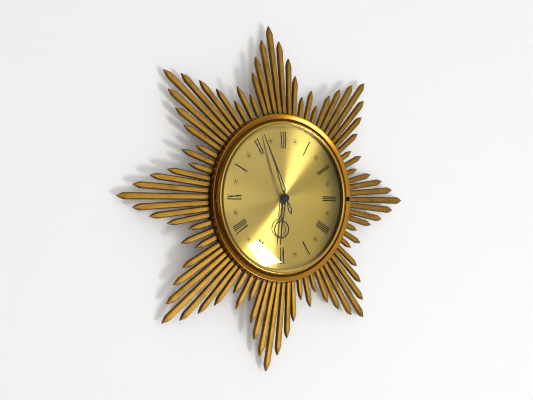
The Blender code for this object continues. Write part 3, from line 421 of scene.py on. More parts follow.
def shade_right(tree, tone):
    """Painted shade, darkening a tone from the middle of the clock towards three o'clock."""
    x = coordinate(tree, "X")
    return mix_colour(tree, remap(tree, x, 0.0, 0.075, smoothly=True), tone, SHADE_TONE)


def shade_glass_ring(tree, tone):
    """Painted shade: dark brown on the slope outside the bead; inside it a pale brass lip with
    painted shade towards three o'clock.
    """
    radius = turned_place(tree)[0]
    slope = remap(tree, radius, BEAD_OUTER - 0.0002, BEAD_OUTER + 0.0004)
    lip = remap(tree, radius, BEAD_INNER - 0.0004, BEAD_INNER + 0.0002, 1.0, 0.0)
    tone = mix_colour(tree, slope, tone, (0.11, 0.040, 0.003))
    return mix_colour(tree, lip, tone, shade_right(tree, (0.60, 0.43, 0.13)))


def shade_dial(tree, tone):
    """Painted shade: a dark crescent inside the right-hand edge."""
    crescent = product(tree, remap(tree, turned_place(tree)[0], 0.055, 0.0925, smoothly=True),
                       remap(tree, coordinate(tree, "X"), 0.040, 0.088, 0.0, 0.92, True))
    return mix_colour(tree, crescent, tone, SHADE_TONE)


def make_dial_brass():
    """Lacquered brass whose fine circular brushing throws two bright beams."""
    material = brushed_round("dial_brass", (0.80, 0.57, 0.11), 0.36, 1.0, 0.00022, 0.12,
                             shade_dial)
    tree = material.node_tree
    shader = tree.nodes["Principled BSDF"]
    tone = shader.inputs["Base Color"].links[0].from_socket
    beam = add(tree, "BsdfAnisotropic", {"Color": mix_colour(tree, 0.25, tone, (1.0, 0.85, 0.42)),
                                         "Roughness": 0.28, "Anisotropy": 0.85,
                                         "Tangent": round_tangent(tree)})
    surface(tree, add(tree, "MixShader", {0: 0.5, 1: shader.outputs[0], 2: beam.outputs[0]}))
    return material


def mottled(name, first, second, metallic, scale, roughness, detail=4.0, depth=None, **values):
    """Two close tones, the roughness and, where depth is given, a relief from one grain."""
    material, tree, shader = new_material(name, first, metallic, roughness[0], **values)
    grain = noise(tree, scale, detail)
    paint(tree, shader, spread(tree, grain, 0.35, 0.7, first, second), grain, *roughness)
    if depth:
        bump(tree, shader, grain, *depth)
    return material


def make_crystal_glass():
    """A clear shell that lets light straight through; its front surface mirrors by Fresnel."""
    material, tree = blank_material("crystal_glass")
    smears = noise(tree, 35.0, detail=6.0)
    gloss = add(tree, "BsdfGlossy", {"Color": (1.0, 0.97, 0.90, 1.0),
                                     "Roughness": remap(tree, smears, 0.4, 0.8, 0.015, 0.035)})
    clear = add(tree, "BsdfTransparent", {"Color": (0.985, 0.99, 0.98, 1.0)})
    in_front = maths(tree, 'SUBTRACT', 1.0, add(tree, "NewGeometry").outputs["Backfacing"])
    share = product(tree, add(tree, "Fresnel", {"IOR": 1.4}).outputs[0], in_front)
    surface(tree, add(tree, "MixShader", {0: share, 1: clear.outputs[0], 2: gloss.outputs[0]}))
    return material


def make_steel():
    material, tree, shader = new_material("steel", (0.55, 0.55, 0.54), 1.0, 0.3)
    grain = noise(tree, 420.0, detail=6.0)
    spangle = noise(tree, 60.0, detail=2.0)
    tone = spread(tree, spangle, 0.4, 0.6, (0.50, 0.50, 0.50), (0.62, 0.61, 0.58))
    paint(tree, shader, tone, grain, 0.24, 0.42)
    bump(tree, shader, grain, 0.12, 0.00004)
    return material


def make_case_paint():
    """Bronze hammer paint, a little worn."""
    material, tree, shader = new_material("case_paint", (0.10, 0.072, 0.04), 0.35, 0.42)
    cells = add(tree, "TexVoronoi", {"Vector": object_place(tree), "Scale": 420.0},
                feature='SMOOTH_F1').outputs["Distance"]
    tone = spread(tree, cells, 0.1, 0.6, (0.135, 0.098, 0.052), (0.070, 0.050, 0.028))
    paint(tree, shader, tone)
    bump(tree, shader, cells, 0.5, 0.00015)
    return material


def blacken_pipes(tree, tone):
    """The pipes that carry the hands are black where they show above the dial."""
    above = remap(tree, coordinate(tree, "Y"), -0.0446, -0.0444, 1.0, 0.0)
    return mix_colour(tree, above, tone, (0.008, 0.007, 0.006))


def make_wheel_brass():
    material, tree, shader = new_material("wheel_brass", (0.78, 0.56, 0.22), 1.0, 0.24)
    grain_place = add(tree, "Mapping", {"Vector": object_place(tree),
                                        "Scale": (90.0, 90.0, 2600.0)})
    grain = noise(tree, 1.0, vector=grain_place.outputs[0])
    tarnish = noise(tree, 80.0, detail=5.0)
    tone = spread(tree, tarnish, 0.45, 0.75, (0.80, 0.58, 0.24), (0.52, 0.33, 0.12), 0.5)
    paint(tree, shader, blacken_pipes(tree, tone), grain, 0.2, 0.36)
    bump(tree, shader, grain, 0.2, 0.00003)
    return material


def make_plastic(name, colour, roughness, depth):
    """Moulded plastic with a fine spark-eroded grain."""
    material, tree, shader = new_material(name, colour, 0.0, roughness)
    grain = noise(tree, 1700.0, detail=3.0)
    broad = noise(tree, 30.0, detail=3.0)
    lighter = tuple(min(1.0, channel * 1.35 + 0.004) for channel in colour)
    tone = blacken_pipes(tree, spread(tree, broad, 0.35, 0.7, colour, lighter))
    paint(tree, shader, tone, grain, roughness * 0.9, roughness * 1.15)
    bump(tree, shader, grain, 0.4, depth)
    return material


def make_copper_wire():
    """Turns of enamelled wire round the coil's own axis, painted as dark bands of shade between the
    turns and lighter bands of sheen along them.
    """
    material, tree, shader = new_material("copper_wire", (0.60, 0.22, 0.10), 0.9, 0.3)
    radius, _, height = turned_place(tree, middle("drive_coil"))
    wire = 0.00016
    turns = maths(tree, 'SINE', product(tree, maths(tree, 'ADD', radius, height), TURN / wire))
    # painted shade between the turns, painted sheen along them
    paint(tree, shader, spread(tree, turns, -1.0, 1.0, (0.30, 0.09, 0.04), (0.72, 0.28, 0.12)))
    bump(tree, shader, turns, 0.6, 0.00004)
    return material


def make_battery_jacket():
    """A plain steel jacket with a gold band at the positive end."""
    material, tree, shader = new_material("battery_jacket", (0.06, 0.12, 0.30), 0.4, 0.3)
    low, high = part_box("battery")
    x = coordinate(tree, "X")
    band = remap(tree, x, high.x - 0.0155, high.x - 0.0150)
    cap = remap(tree, x, high.x - 0.0022, high.x - 0.0020)
    base = remap(tree, x, low.x + 0.0008, low.x + 0.0006)
    scuffs = noise(tree, 240.0, detail=6.0)
    tone = mix_colour(tree, band, (0.05, 0.10, 0.26), (0.70, 0.48, 0.14))
    tone = mix_colour(tree, maths(tree, 'MAXIMUM', cap, base), tone, (0.62, 0.61, 0.58))
    tone = spread(tree, scuffs, 0.62, 0.8, tone, (0.5, 0.5, 0.5), 0.4)
    paint(tree, shader, tone, scuffs, 0.24, 0.42)
    return material


ENAMEL, RUBBER = (0.006, 0.006, 0.008), (0.035, 0.035, 0.035)
MATERIALS = {
    "patinated_brass": make_ray_metal(),
    "gold_metal": brushed_round("gold_metal", (0.43, 0.195, 0.011), 0.26, 0.50, 0.00030, 0.30,
                                shade_bezel, Specular_Tint=(1.0, 0.70, 0.25, 1.0),
                                Coat_Weight=0.35, Coat_Roughness=0.12),
    "bright_gold": brushed_round("bright_gold", (0.58, 0.39, 0.085), 0.15, 0.30, 0.00030, 0.15,
                                 shade_glass_ring, Specular_Tint=(1.0, 0.80, 0.40, 1.0)),
    "dial_brass": make_dial_brass(),
    "black_enamel": mottled("black_enamel", ENAMEL, ENAMEL, 0.0, 900.0, (0.18, 0.34), 3.0,
                            (0.15, 0.00002), Specular_IOR_Level=0.3),
    "crystal_glass": make_crystal_glass(),
    "seal_rubber": mottled("seal_rubber", RUBBER, RUBBER, 0.0, 1400.0, (0.65, 0.85),
                           depth=(0.3, 0.00003)),
    "steel": make_steel(),
    "case_paint": make_case_paint(),
    "wheel_brass": make_wheel_brass(),
    "black_plastic": make_plastic("black_plastic", (0.022, 0.022, 0.024), 0.46, 0.00005),
    "nylon": make_plastic("nylon", (0.80, 0.77, 0.68), 0.42, 0.00002),
    "copper_wire": make_copper_wire(),
    "circuit_laminate": make_plastic("circuit_laminate", (0.30, 0.18, 0.07), 0.5, 0.00002),
    "battery_jacket": make_battery_jacket(),
}
INK = mottled("printed_ink", (0.004, 0.0035, 0.002), (0.014, 0.011, 0.006), 0.0, 700.0, (0.5, 0.65),
              Specular_IOR_Level=0.15)
DARK_BRONZE = mottled("dark_bronze", (0.035, 0.018, 0.004), (0.075, 0.040, 0.010), 0.7, 160.0,
                      (0.4, 0.6), 6.0)
# the dial ring: pale brass with painted shade towards three o'clock
PALE_RING = brushed_round("pale_ring", (0.80, 0.60, 0.20), 0.45, 0.0, 0.00025, 0.10,
                          shade_right)
OWN_MATERIALS = {"hinge_pin": DARK_BRONZE, "ray_carrier_ring": DARK_BRONZE, "dial_ring": PALE_RING}


def finish(item, material):
    item.data.materials.clear()
    item.data.materials.append(material)


def finish_as(item, node):
    """The slot and the material of a CAD node."""
    finish(item, OWN_MATERIALS.get(node, MATERIALS[SLOTS[node]]))


def stand_for(item, node):
    """The item takes the place, the body and the finish of a CAD node."""
    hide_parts(node)
    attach(item, BODIES[node])
    finish_as(item, node)


def print_on_dial(item):
    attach(item, "case")
    finish(item, INK)


# ------ rays

STAR_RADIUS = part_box("ray_fan_1")[1].z
# (radius of the tip, degrees from the group's middle); all but the first ray come in pairs
FAN = ((STAR_RADIUS, 0.0), (0.2058, 3.88), (0.1850, 7.96), (0.1645, 11.92))
TRIO = ((0.1537, 0.0), (0.1393, 5.28))
RAY_ROOT = 0.1092
RIDGE_AT_CENTRE, RIDGE_FALL = 0.0624, 0.224
RAY_DEPTH = 0.0042
RAY_POINT = 0.0115
TANG = (0.1025, 0.0044, 0.0336, 0.0362)         # inner radius, width, lower and upper height
STRIP = (0.0997, 0.1073, 0.0310, 0.0340)        # inner and outer radius, lower and upper height
# across the ray: (share of the half width, share of the depth)
SECTION = ((-1.0, 0.0), (-1.0, 0.34), (-0.80, 0.84), (-0.68, 0.95), (-0.34, 0.99), (0.0, 1.0),
           (0.34, 0.99), (0.68, 0.95), (0.80, 0.84), (1.0, 0.34), (1.0, 0.0))
POINT_STEPS = (0.15, 0.32, 0.5, 0.66, 0.80, 0.91, 0.975)


def ridge(radius):
    return RIDGE_AT_CENTRE - RIDGE_FALL * radius


def ray_half_width(radius):
    return (0.0069 + 0.024 * (radius - RAY_ROOT)) / 2.0


def add_ray(shape, tip, degrees, seed):
    """A tang, a bar that widens outwards with a bevelled crown, and a lancet point."""
    across, along, seeds = (shape.verts.layers.float[name] for name in RAY_VALUES)
    aim = Matrix.Rotation(math.radians(degrees), 3, 'Y')
    start, shoulder = RAY_ROOT + 0.0007, tip - RAY_POINT
    stations = [(TANG[0], TANG[1] / 2.0, TANG[2], TANG[3], 1.0),
                (RAY_ROOT, TANG[1] / 2.0, TANG[2], TANG[3], 1.0)]
    for k in range(7):
        radius = start + (shoulder - start) * k / 6.0
        high = ridge(radius)
        stations.append((radius, ray_half_width(radius), high - RAY_DEPTH, high, 1.0))
    for share in POINT_STEPS:
        radius = shoulder + RAY_POINT * share
        high = ridge(radius)
        half = ray_half_width(shoulder) * (1.0 - share ** 1.7)
        drop = 0.45 * RAY_DEPTH * share ** 2
        stations.append((radius, half, high - RAY_DEPTH, high - drop, 1.0 - 0.75 * share))
    loops = []
    for radius, half, low, high, crown in stations:
        loop = []
        for side, rise in SECTION:
            width = side if abs(side) == 1.0 else side * (0.35 + 0.65 * crown)
            vert = shape.verts.new(aim @ point(half * width, radius, low + (high - low) * rise))
            vert[across], vert[along], vert[seeds] = side, radius, seed
            loop.append(vert)
        loops.append(loop)
    tip_vert = shape.verts.new(aim @ point(0.0, tip, ridge(tip) - 0.62 * RAY_DEPTH))
    tip_vert[across], tip_vert[along], tip_vert[seeds] = 0.8, tip, seed
    for near, far in zip(loops, loops[1:]):
        for k in range(len(near)):
            nxt = (k + 1) % len(near)
            shape.faces.new((near[k], near[nxt], far[nxt], far[k]))
    shape.faces.new(loops[0])
    for k in range(len(SECTION)):
        shape.faces.new((loops[-1][k], loops[-1][(k + 1) % len(SECTION)], tip_vert))


def add_strip(shape, middle_angle, half_angle):
    """The curved strip that the rays are soldered to."""
    across = shape.verts.layers.float["across"]
    inner, outer, low, high = STRIP
    steps = 16
    loops = []
    for k in range(steps + 1):
        angle = middle_angle - half_angle + 2.0 * half_angle * k / steps
        loop = [shape.verts.new(point(*polar(radius, angle), height))
                for radius, height in rectangle(inner, outer, low, high)]
        for vert in loop:
            vert[across] = 0.8
        loops.append(loop)
    for near, far in zip(loops, loops[1:]):
        for k in range(4):
            shape.faces.new((near[k], near[(k + 1) % 4], far[(k + 1) % 4], far[k]))
    shape.faces.new(loops[0])
    shape.faces.new(loops[-1])


def make_rays():
    chance = random.Random(11)

    def group(name, node, middle_angle, half_angle, rays):
        shape = bmesh.new()
        for value in RAY_VALUES:
            shape.verts.layers.float.new(value)
        pairs = [(radius, side * offset) for radius, offset in rays[1:] for side in (-1, 1)]
        for radius, offset in [rays[0]] + pairs:
            length = radius - chance.uniform(0.0, 0.0012)
            lean = chance.uniform(-0.16, 0.16)
            add_ray(shape, length, middle_angle + offset + lean, chance.random())
        add_strip(shape, middle_angle, half_angle)
        stand_for(smooth(to_object(shape, name), 28.0), node)

    for number in range(1, 9):
        main = 45.0 * (number - 1)
        group(f"rays_long_{number}", f"ray_fan_{number}", main, 13.4, FAN)
        group(f"rays_short_{number}", f"ray_trio_{number}", main + 22.5, 7.0, TRIO)


# ------ bezel and glass ring

BEZEL_RADIUS = reach("outer_bezel")
RIM_TOP, FACE_FOOT, LEDGE_TOP, LEDGE_UNDER = 0.0472, 0.0456, 0.0450, 0.0438
FACE_INNER = 0.1017
BEZEL_FOOT, SKIRT_FOOT, BEZEL_WALL = 0.0386, 0.0310, 0.0012
POST_RADIUS, THREAD_RADIUS = 0.0017, 0.0011
SKIRT_INNER, SKIRT_OUTER = 0.0956, 0.0972
HINGE_X, HINGE_HEIGHT, HINGE_RADIUS = -0.1029, 0.0461, 0.00125
PIN_HOLE = 0.00075
KNUCKLE_HALF, KNUCKLE_INNER, KNUCKLE_OUTER = 0.0018, 0.0022, 0.0052
GAP = 0.0003
SCREWS = [middle(f"bezel_screw_{k}") for k in range(1, 5)]


def hinge_bore():
    return upright_rod(HINGE_X, HINGE_HEIGHT, PIN_HOLE, -0.006, 0.006)


def make_bezel():
    """A deep ring with a dished face, a seat for the glass ring and four threaded posts."""
    rim = rounded(((BEZEL_RADIUS, BEZEL_FOOT), (BEZEL_RADIUS, RIM_TOP - 0.0006),
                   (BEZEL_RADIUS - 0.0010, RIM_TOP), (FACE_INNER, FACE_FOOT),
                   (FACE_INNER, LEDGE_TOP), (SKIRT_INNER, LEDGE_TOP),
                   (SKIRT_INNER, SKIRT_FOOT), (SKIRT_OUTER, SKIRT_FOOT),
                   (SKIRT_OUTER, LEDGE_UNDER), (BEZEL_RADIUS - BEZEL_WALL, LEDGE_UNDER),
                   (BEZEL_RADIUS - BEZEL_WALL, BEZEL_FOOT)), 0.0004, steps=3)
    bezel = lathe("bezel", rim)
    posts = [rod(place, POST_RADIUS, SKIRT_FOOT, LEDGE_UNDER + 0.0004) for place in SCREWS]
    barrels = [upright_rod(HINGE_X, HINGE_HEIGHT, HINGE_RADIUS, side * KNUCKLE_INNER,
                           side * KNUCKLE_OUTER) for side in (-1, 1)]
    combine(bezel, posts + barrels, 'UNION')
    seat = block(HINGE_X - 0.0020, -0.0995, -KNUCKLE_HALF - GAP, KNUCKLE_HALF + GAP, 0.0445, 0.05)
    notch = block(NOTCH_INNER, NOTCH_OUTER, -NOTCH_HALF, NOTCH_HALF, 0.0443, 0.05)
    holes = [rod(place, THREAD_RADIUS, SKIRT_FOOT - 0.0010, 0.0395) for place in SCREWS]
    combine(bezel, [seat, hinge_bore(), notch] + holes)
    stand_for(smooth(bezel), "outer_bezel")


def make_glass_ring():
    """The bright ring that carries the crystal, with its hinge knuckle."""
    outer, seat, lip = reach("dial_plate") + 0.0065, 0.0966, 0.0926
    foot, seat_height = 0.0453, 0.0472
    profile = [(outer, foot), (outer, 0.0457), (0.1000, 0.0464), (0.0988, 0.0473),
               (0.0981, 0.0481)]
    bead = 0.0017
    for angle in (math.radians(35.0 + 110.0 * k / 8) for k in range(9)):
        profile.append((seat + bead * math.cos(angle),
                        seat_height - 0.0005 + bead * math.sin(angle)))
    profile += [(0.0932, 0.0474), (lip, 0.04735), (lip, seat_height), (seat, seat_height),
                (seat, foot)]
    ring = lathe("glass_ring_turned", rounded(profile, 0.00012, steps=2))
    knuckle = upright_rod(HINGE_X, HINGE_HEIGHT, HINGE_RADIUS, -KNUCKLE_HALF, KNUCKLE_HALF)
    web = block(HINGE_X, -0.1000, -KNUCKLE_HALF, KNUCKLE_HALF, 0.0456, 0.0464)
    combine(ring, [web, knuckle], 'UNION')
    combine(ring, [hinge_bore()])
    stand_for(smooth(ring), "glass_ring")


CRYSTAL_RIM, CRYSTAL_THICKNESS, CRYSTAL_EDGE = 0.0008, 0.0012, 0.0924


def make_crystal():
    """A domed glass of even thickness with a flat rim under the ring."""
    rim_radius = reach("crystal")
    rim_low, top = heights("crystal")
    rim_high = rim_low + CRYSTAL_RIM
    edge, inner_edge = CRYSTAL_EDGE, CRYSTAL_EDGE - 0.0004
    rise = top - rim_high
    sphere = (edge ** 2 + rise ** 2) / (2.0 * rise)
    base = top - sphere

    def dome(last, radius):
        """A cap from its top to its edge, no lower than the underside of the rim."""
        return [(last * k / 40, max(base + math.sqrt(radius ** 2 - (last * k / 40) ** 2), rim_low))
                for k in range(41)]

    outside, inside = dome(edge, sphere), dome(inner_edge, sphere - CRYSTAL_THICKNESS)
    profile = outside + [(rim_radius, rim_high), (rim_radius, rim_low)] + inside[::-1]
    crystal = lathe("domed_crystal", profile, steps=ROUND, closed=False)
    stand_for(smooth(crystal, 10.0), "crystal")


# ------ dial

DIAL_TOP = heights("dial_plate")[1]
DIAL_HOLE, STAR_CIRCLE = 0.0041, 0.0748
NUMERAL_INNER, NUMERAL_OUTER = 0.0636, 0.0850
STROKE, HAIRLINE, STROKE_PITCH = 0.00148, 0.00062, 0.00240
X_WIDTH, V_WIDTH = 0.0040, 0.0042
INK_LOW, INK_HIGH = DIAL_TOP - 0.00002, DIAL_TOP + 0.00005
NUMERALS = ("XII", "I", "II", "III", "IIII", "V", "VI", "VII", "VIII", "IX", "X", "XI")


def stroke(bottom, top, width):
    """The outline of a straight stroke from a numeral's foot to its head."""
    half = width / 2.0
    return [(bottom - half, NUMERAL_INNER), (bottom + half, NUMERAL_INNER),
            (top + half, NUMERAL_OUTER), (top - half, NUMERAL_OUTER)]


def numeral_strokes(text):
    """The strokes of a Roman numeral centred on x = 0, its head outwards."""
    widths = {"I": STROKE, "X": X_WIDTH, "V": V_WIDTH}
    gap = STROKE_PITCH - STROKE
    total = sum(widths[letter] for letter in text) + gap * (len(text) - 1)
    left, strokes = -total / 2.0, []
    for letter in text:
        right = left + widths[letter]
        if letter == "I":
            strokes.append(stroke(left + STROKE / 2.0, left + STROKE / 2.0, STROKE))
        elif letter == "V":
            foot = (left + right) / 2.0
            strokes.append(stroke(foot, left + STROKE / 2.0, STROKE))
            strokes.append(stroke(foot + STROKE / 3.0, right - HAIRLINE / 2.0, HAIRLINE))
        else:
            strokes.append(stroke(right - STROKE / 2.0, left + STROKE / 2.0, STROKE))
            strokes.append(stroke(left + HAIRLINE / 2.0, right - HAIRLINE / 2.0, HAIRLINE))
        left = right + gap
    return strokes


def ink_film(name, outlines):
    """A thin film of ink over several outlines, which may cross, as one object."""
    shape = bmesh.new()
    for item in [plate("film", [outline], INK_LOW, INK_HIGH) for outline in outlines]:
        shape.from_mesh(item.data)
        bpy.data.objects.remove(item)
    return to_object(shape, name)


def make_dial():
    low, high = heights("dial_plate")
    profile = rounded(rectangle(DIAL_HOLE, reach("dial_plate"), low, high), 0.00015, steps=2)
    stand_for(lathe("dial", profile), "dial_plate")

    low, high = heights("dial_ring")
    outer = reach("dial_ring")
    inner = outer - 0.0032
    profile = rounded(((outer, low), (outer, high), (inner + 0.0012, high), (inner, low)),
                      0.0002, steps=3)
    stand_for(lathe("dial_surround", profile), "dial_ring")

    for hour, text in enumerate(NUMERALS):
        piece = ink_film(f"numeral_{hour or 12}", numeral_strokes(text))
        turn(piece, 30.0 * hour)
        print_on_dial(piece)

    for hour in range(12):
        between = 30.0 * hour + 15.0
        centre = polar(STAR_CIRCLE, between)
        loops = [circle(centre, 0.00085, 16)]
        for angle in (between + 60.0 * k for k in range(6)):
            loops.append(circle(polar(0.0034, angle, centre), 0.00060, 12))
            loops.append([polar(radius, angle + offset, centre) for radius, offset in
                          ((0.0011, -16.0), (0.0011, 16.0), (0.0025, 6.0), (0.0025, -6.0))])
        print_on_dial(ink_film(f"dial_star_{hour + 1}", loops))


# ------ hands

MINUTE_ANGLE, HOUR_ANGLE = 338.8, 185.4
MINUTE_HEIGHT, HOUR_HEIGHT, HAND_THICKNESS = 0.0520, 0.0474, 0.0005
BEND_START, BEND_DROP, MINUTE_TIP = 0.030, 0.0057, 0.0870
MINUTE_BOSS, HOUR_BOSS, BOSS_THICKNESS = 0.0045, 0.0060, 0.0008
ARBOR_HOLE, PIPE_HOLE, CUT_DEPTH = 0.0013, 0.0037, 0.0060
HOUR_RING, HOUR_RING_CENTRE = (0.0116, 0.0102), 0.0407


def levels(height, thickness):
    return height - thickness / 2.0, height + thickness / 2.0


def both_sides(right):
    """A closed outline from the points of its right half, listed from foot to tip."""
    points = [(half * MM, along * MM) for half, along in right]
    return points + [(-x, z) for x, z in reversed(points) if abs(x) > 1e-9]


def make_minute_hand():
    low, high = levels(MINUTE_HEIGHT, HAND_THICKNESS)
    outside = both_sides(((0.0, -22.6), (1.2, -20.6), (2.3, -18.2), (2.9, -16.0), (2.7, -13.4),
                          (1.9, -9.8), (1.15, -7.0), (1.0, -5.0), (1.0, 5.0), (1.1, 7.0),
                          (1.7, 8.6), (2.8, 10.6), (3.4, 12.0), (2.95, 12.8), (2.75, 18.0),
                          (2.4, 26.0), (1.9, 34.0), (1.35, 41.0), (1.2, 50.0), (1.0, 60.0),
                          (0.8, 70.0), (0.6, 79.0), (0.32, 86.2), (0.0, 87.0)))
    lance = both_sides(((0.0, 9.4), (0.9, 10.8), (1.75, 12.8), (1.6, 18.0), (1.25, 26.0),
                        (0.75, 34.0), (0.0, 38.6)))
    rhomb = both_sides(((0.0, -20.0), (0.9, -18.2), (1.55, -16.0), (1.35, -13.4), (0.7, -10.2),
                        (0.0, -8.6)))
    hand = plate("minute_hand_blade", [outside, lance, rhomb], low, high)
    boss = rod(CENTRE, MINUTE_BOSS, *levels(MINUTE_HEIGHT, BOSS_THICKNESS), 48)
    combine(hand, [boss], 'UNION')
    combine(hand, [rod(CENTRE, ARBOR_HOLE, *levels(MINUTE_HEIGHT, CUT_DEPTH))])
    for vert in hand.data.vertices:
        if vert.co.z > BEND_START:
            share = (vert.co.z - BEND_START) / (MINUTE_TIP - BEND_START)
            vert.co.y += BEND_DROP * share ** 1.5
    turn(hand, MINUTE_ANGLE)
    stand_for(smooth(soften(hand, 0.00010), 25.0), "minute_hand")


def make_hour_hand():
    low, high = levels(HOUR_HEIGHT, HAND_THICKNESS)
    stem = both_sides(((2.4, 2.0), (2.85, 6.0), (2.8, 9.0), (2.5, 16.0), (2.1, 25.0),
                       (1.5, 28.6), (0.95, 31.0), (0.85, 40.0), (0.75, 50.0), (0.60, 58.0),
                       (0.28, 61.0), (0.0, 61.5)))
    slot = both_sides(((0.0, 7.8), (1.3, 9.4), (1.15, 16.0), (0.8, 24.0), (0.0, 26.8)))
    hand = plate("hour_hand_blade", [stem, slot], low, high)
    ring = plate("ring", [circle((0.0, HOUR_RING_CENTRE), radius, 72) for radius in HOUR_RING],
                 low - 0.00005, high + 0.00005)
    boss = rod(CENTRE, HOUR_BOSS, *levels(HOUR_HEIGHT, BOSS_THICKNESS), 48)
    combine(hand, [ring, boss], 'UNION')
    combine(hand, [rod(CENTRE, PIPE_HOLE, *levels(HOUR_HEIGHT, CUT_DEPTH), 48)])
    turn(hand, HOUR_ANGLE)
    stand_for(smooth(soften(hand, 0.00010), 25.0), "hour_hand")


def make_hand_nut():
    """A small round nut with a domed, closed front."""
    low, high = heights("hand_nut")
    radius = reach("hand_nut")
    dome = [(radius * math.cos(math.radians(a)) * 0.96, high - 0.0008
             + 0.0008 * math.sin(math.radians(a))) for a in range(0, 91, 15)]
    profile = [(ARBOR_HOLE, low), (radius, low), (radius, high - 0.0010)] + dome[:-1]
    profile += [(0.0, high), (0.0, high - 0.0006), (ARBOR_HOLE, high - 0.0006)]
    stand_for(lathe("hand_nut_domed", profile, steps=48), "hand_nut")


# ------ case and back

CUP_RADIUS, CUP_INSIDE = 0.0952, 0.0940
FLANGE_LOW, FLANGE_HIGH, SHELF_LOW, SHELF_HIGH, SHELF_INNER = 0.0266, 0.0282, 0.0350, 0.0361, 0.0905
CUP_WALL, LIP_INNER = 0.0012, 0.0880
COVER_RADIUS = reach("back_cover")
PAN_RADIUS = 0.0785
KNOB = middle("setting_knob")
BOLT_HOLE, COVER_HOLE = 0.0012, 0.0014
COVER_SCREWS = [middle(f"cover_screw_{k}") for k in (1, 2, 3)]
KEYHOLE_CENTRE, SLOT_TOP, KEYHOLE_RADIUS, SLOT_HALF = 0.059, 0.0685, 0.0042, 0.0021


def make_case():
    low, high = heights("case_cup")
    cup = rounded(((CUP_RADIUS, low), (CUP_RADIUS, FLANGE_LOW), (reach("case_cup"), FLANGE_LOW),
                   (reach("case_cup"), FLANGE_HIGH), (CUP_RADIUS, FLANGE_HIGH),
                   (CUP_RADIUS, high), (CUP_INSIDE, high), (CUP_INSIDE, SHELF_HIGH),
                   (SHELF_INNER, SHELF_HIGH), (SHELF_INNER, SHELF_LOW), (CUP_INSIDE, SHELF_LOW),
                   (CUP_INSIDE, low + CUP_WALL), (LIP_INNER, low + CUP_WALL), (LIP_INNER, low)),
                  0.0005, steps=3)
    case = lathe("case_cup_turned", cup)
    holes = [rod(place, BOLT_HOLE, 0.020, 0.035) for place in SCREWS]
    holes += [rod(place, COVER_HOLE, 0.0, 0.006) for place in COVER_SCREWS]
    combine(case, holes)
    stand_for(smooth(case), "case_cup")

    low, high = heights("ray_carrier_ring")
    profile = rounded(rectangle(SKIRT_INNER, STRIP[1], low, high), 0.0003, steps=2)
    carrier = lathe("carrier_ring_turned", profile)
    combine(carrier, [rod(place, BOLT_HOLE, 0.020, 0.035) for place in SCREWS])
    stand_for(smooth(carrier), "ray_carrier_ring")


def make_screw(name, node, head_radius, shank_radius, head):
    """A slotted screw whose head, of the given height, is at its end nearest to the wall."""
    low, high = heights(node)
    centre = middle(node)
    profile = rounded(((0.0, low), (head_radius * 0.8, low), (head_radius, low + head * 0.45),
                       (head_radius, low + head), (shank_radius, low + head),
                       (shank_radius, high - 0.0004), (shank_radius * 0.5, high),
                       (0.0, high)), 0.0002, closed=False, steps=3)
    screw = lathe(name, profile, centre, 40, closed=False)
    slot = block(centre[0] - 0.004, centre[0] + 0.004, centre[1] - 0.0003, centre[1] + 0.0003,
                 low - 0.001, low + head * 0.45)
    combine(screw, [slot])
    stand_for(smooth(screw), node)


def face_outline(node, corner):
    """A CAD node's outline from the front, with round corners."""
    low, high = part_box(node)
    return rounded(rectangle(low.x, high.x, low.z, high.z), corner)


def make_back_cover():
    """A moulded cover with a stepped rim and openings."""
    skin, rim_low, rim_high = 0.0012, 0.0018, heights("back_cover")[1]
    profile = rounded(((0.0, 0.0), (PAN_RADIUS, 0.0), (0.0800, rim_low),
                       (COVER_RADIUS, rim_low), (COVER_RADIUS, rim_high), (0.0793, rim_high),
                       (0.0778, skin), (0.0, skin)), 0.0006, closed=False, steps=4)
    cover = lathe("rear_cover", profile, closed=False)
    door_low, door_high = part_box("battery_door")
    lever_x = middle("regulator_lever")[0]
    outlines = [circle(KNOB, 0.0120, 64),
                rectangle(door_low.x - 0.0004, door_high.x + 0.0004, door_low.z - 0.0005,
                          door_high.z + 0.0005),
                rounded(rectangle(lever_x - 0.012, lever_x + 0.012, 0.042, 0.048), 0.002),
                rounded(rectangle(-0.009, 0.009, 0.052, 0.072), 0.0015)]
    outlines += [circle(place, COVER_HOLE) for place in COVER_SCREWS]
    combine(cover, [plate("opening", [outline], -0.002, 0.006) for outline in outlines])
    stand_for(smooth(soften(cover, 0.00015)), "back_cover")


def make_hanger():
    """A pressed plate whose keyhole is a round hole that runs up into a slot."""
    keyhole = [polar(KEYHOLE_RADIUS, 30.0 + 300.0 * k / 24, (0.0, KEYHOLE_CENTRE))
               for k in range(25)]
    keyhole += [polar(SLOT_HALF, 180.0 * k / 12 - 90.0, (0.0, SLOT_TOP)) for k in range(13)]
    outlines = [face_outline("hanger_plate", 0.003), keyhole]
    hanger = plate("hanger_plate_pressed", outlines, *heights("hanger_plate"))
    stand_for(smooth(soften(hanger, 0.0002)), "hanger_plate")


def make_battery_door():
    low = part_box("battery_door")[0]
    near, far = heights("battery_door")
    door = plate("battery_lid", [face_outline("battery_door", 0.0018)], near, far)
    grip = rod((middle("battery_door")[0], low.z), 0.0040, -0.002, 0.0005)
    lines = [block(-0.010, 0.010, low.z + 0.0065 + 0.0016 * k, low.z + 0.0072 + 0.0016 * k,
                   -0.002, near + 0.0002) for k in range(4)]
    combine(door, [grip] + lines)
    stand_for(smooth(soften(door, 0.0001)), "battery_door")


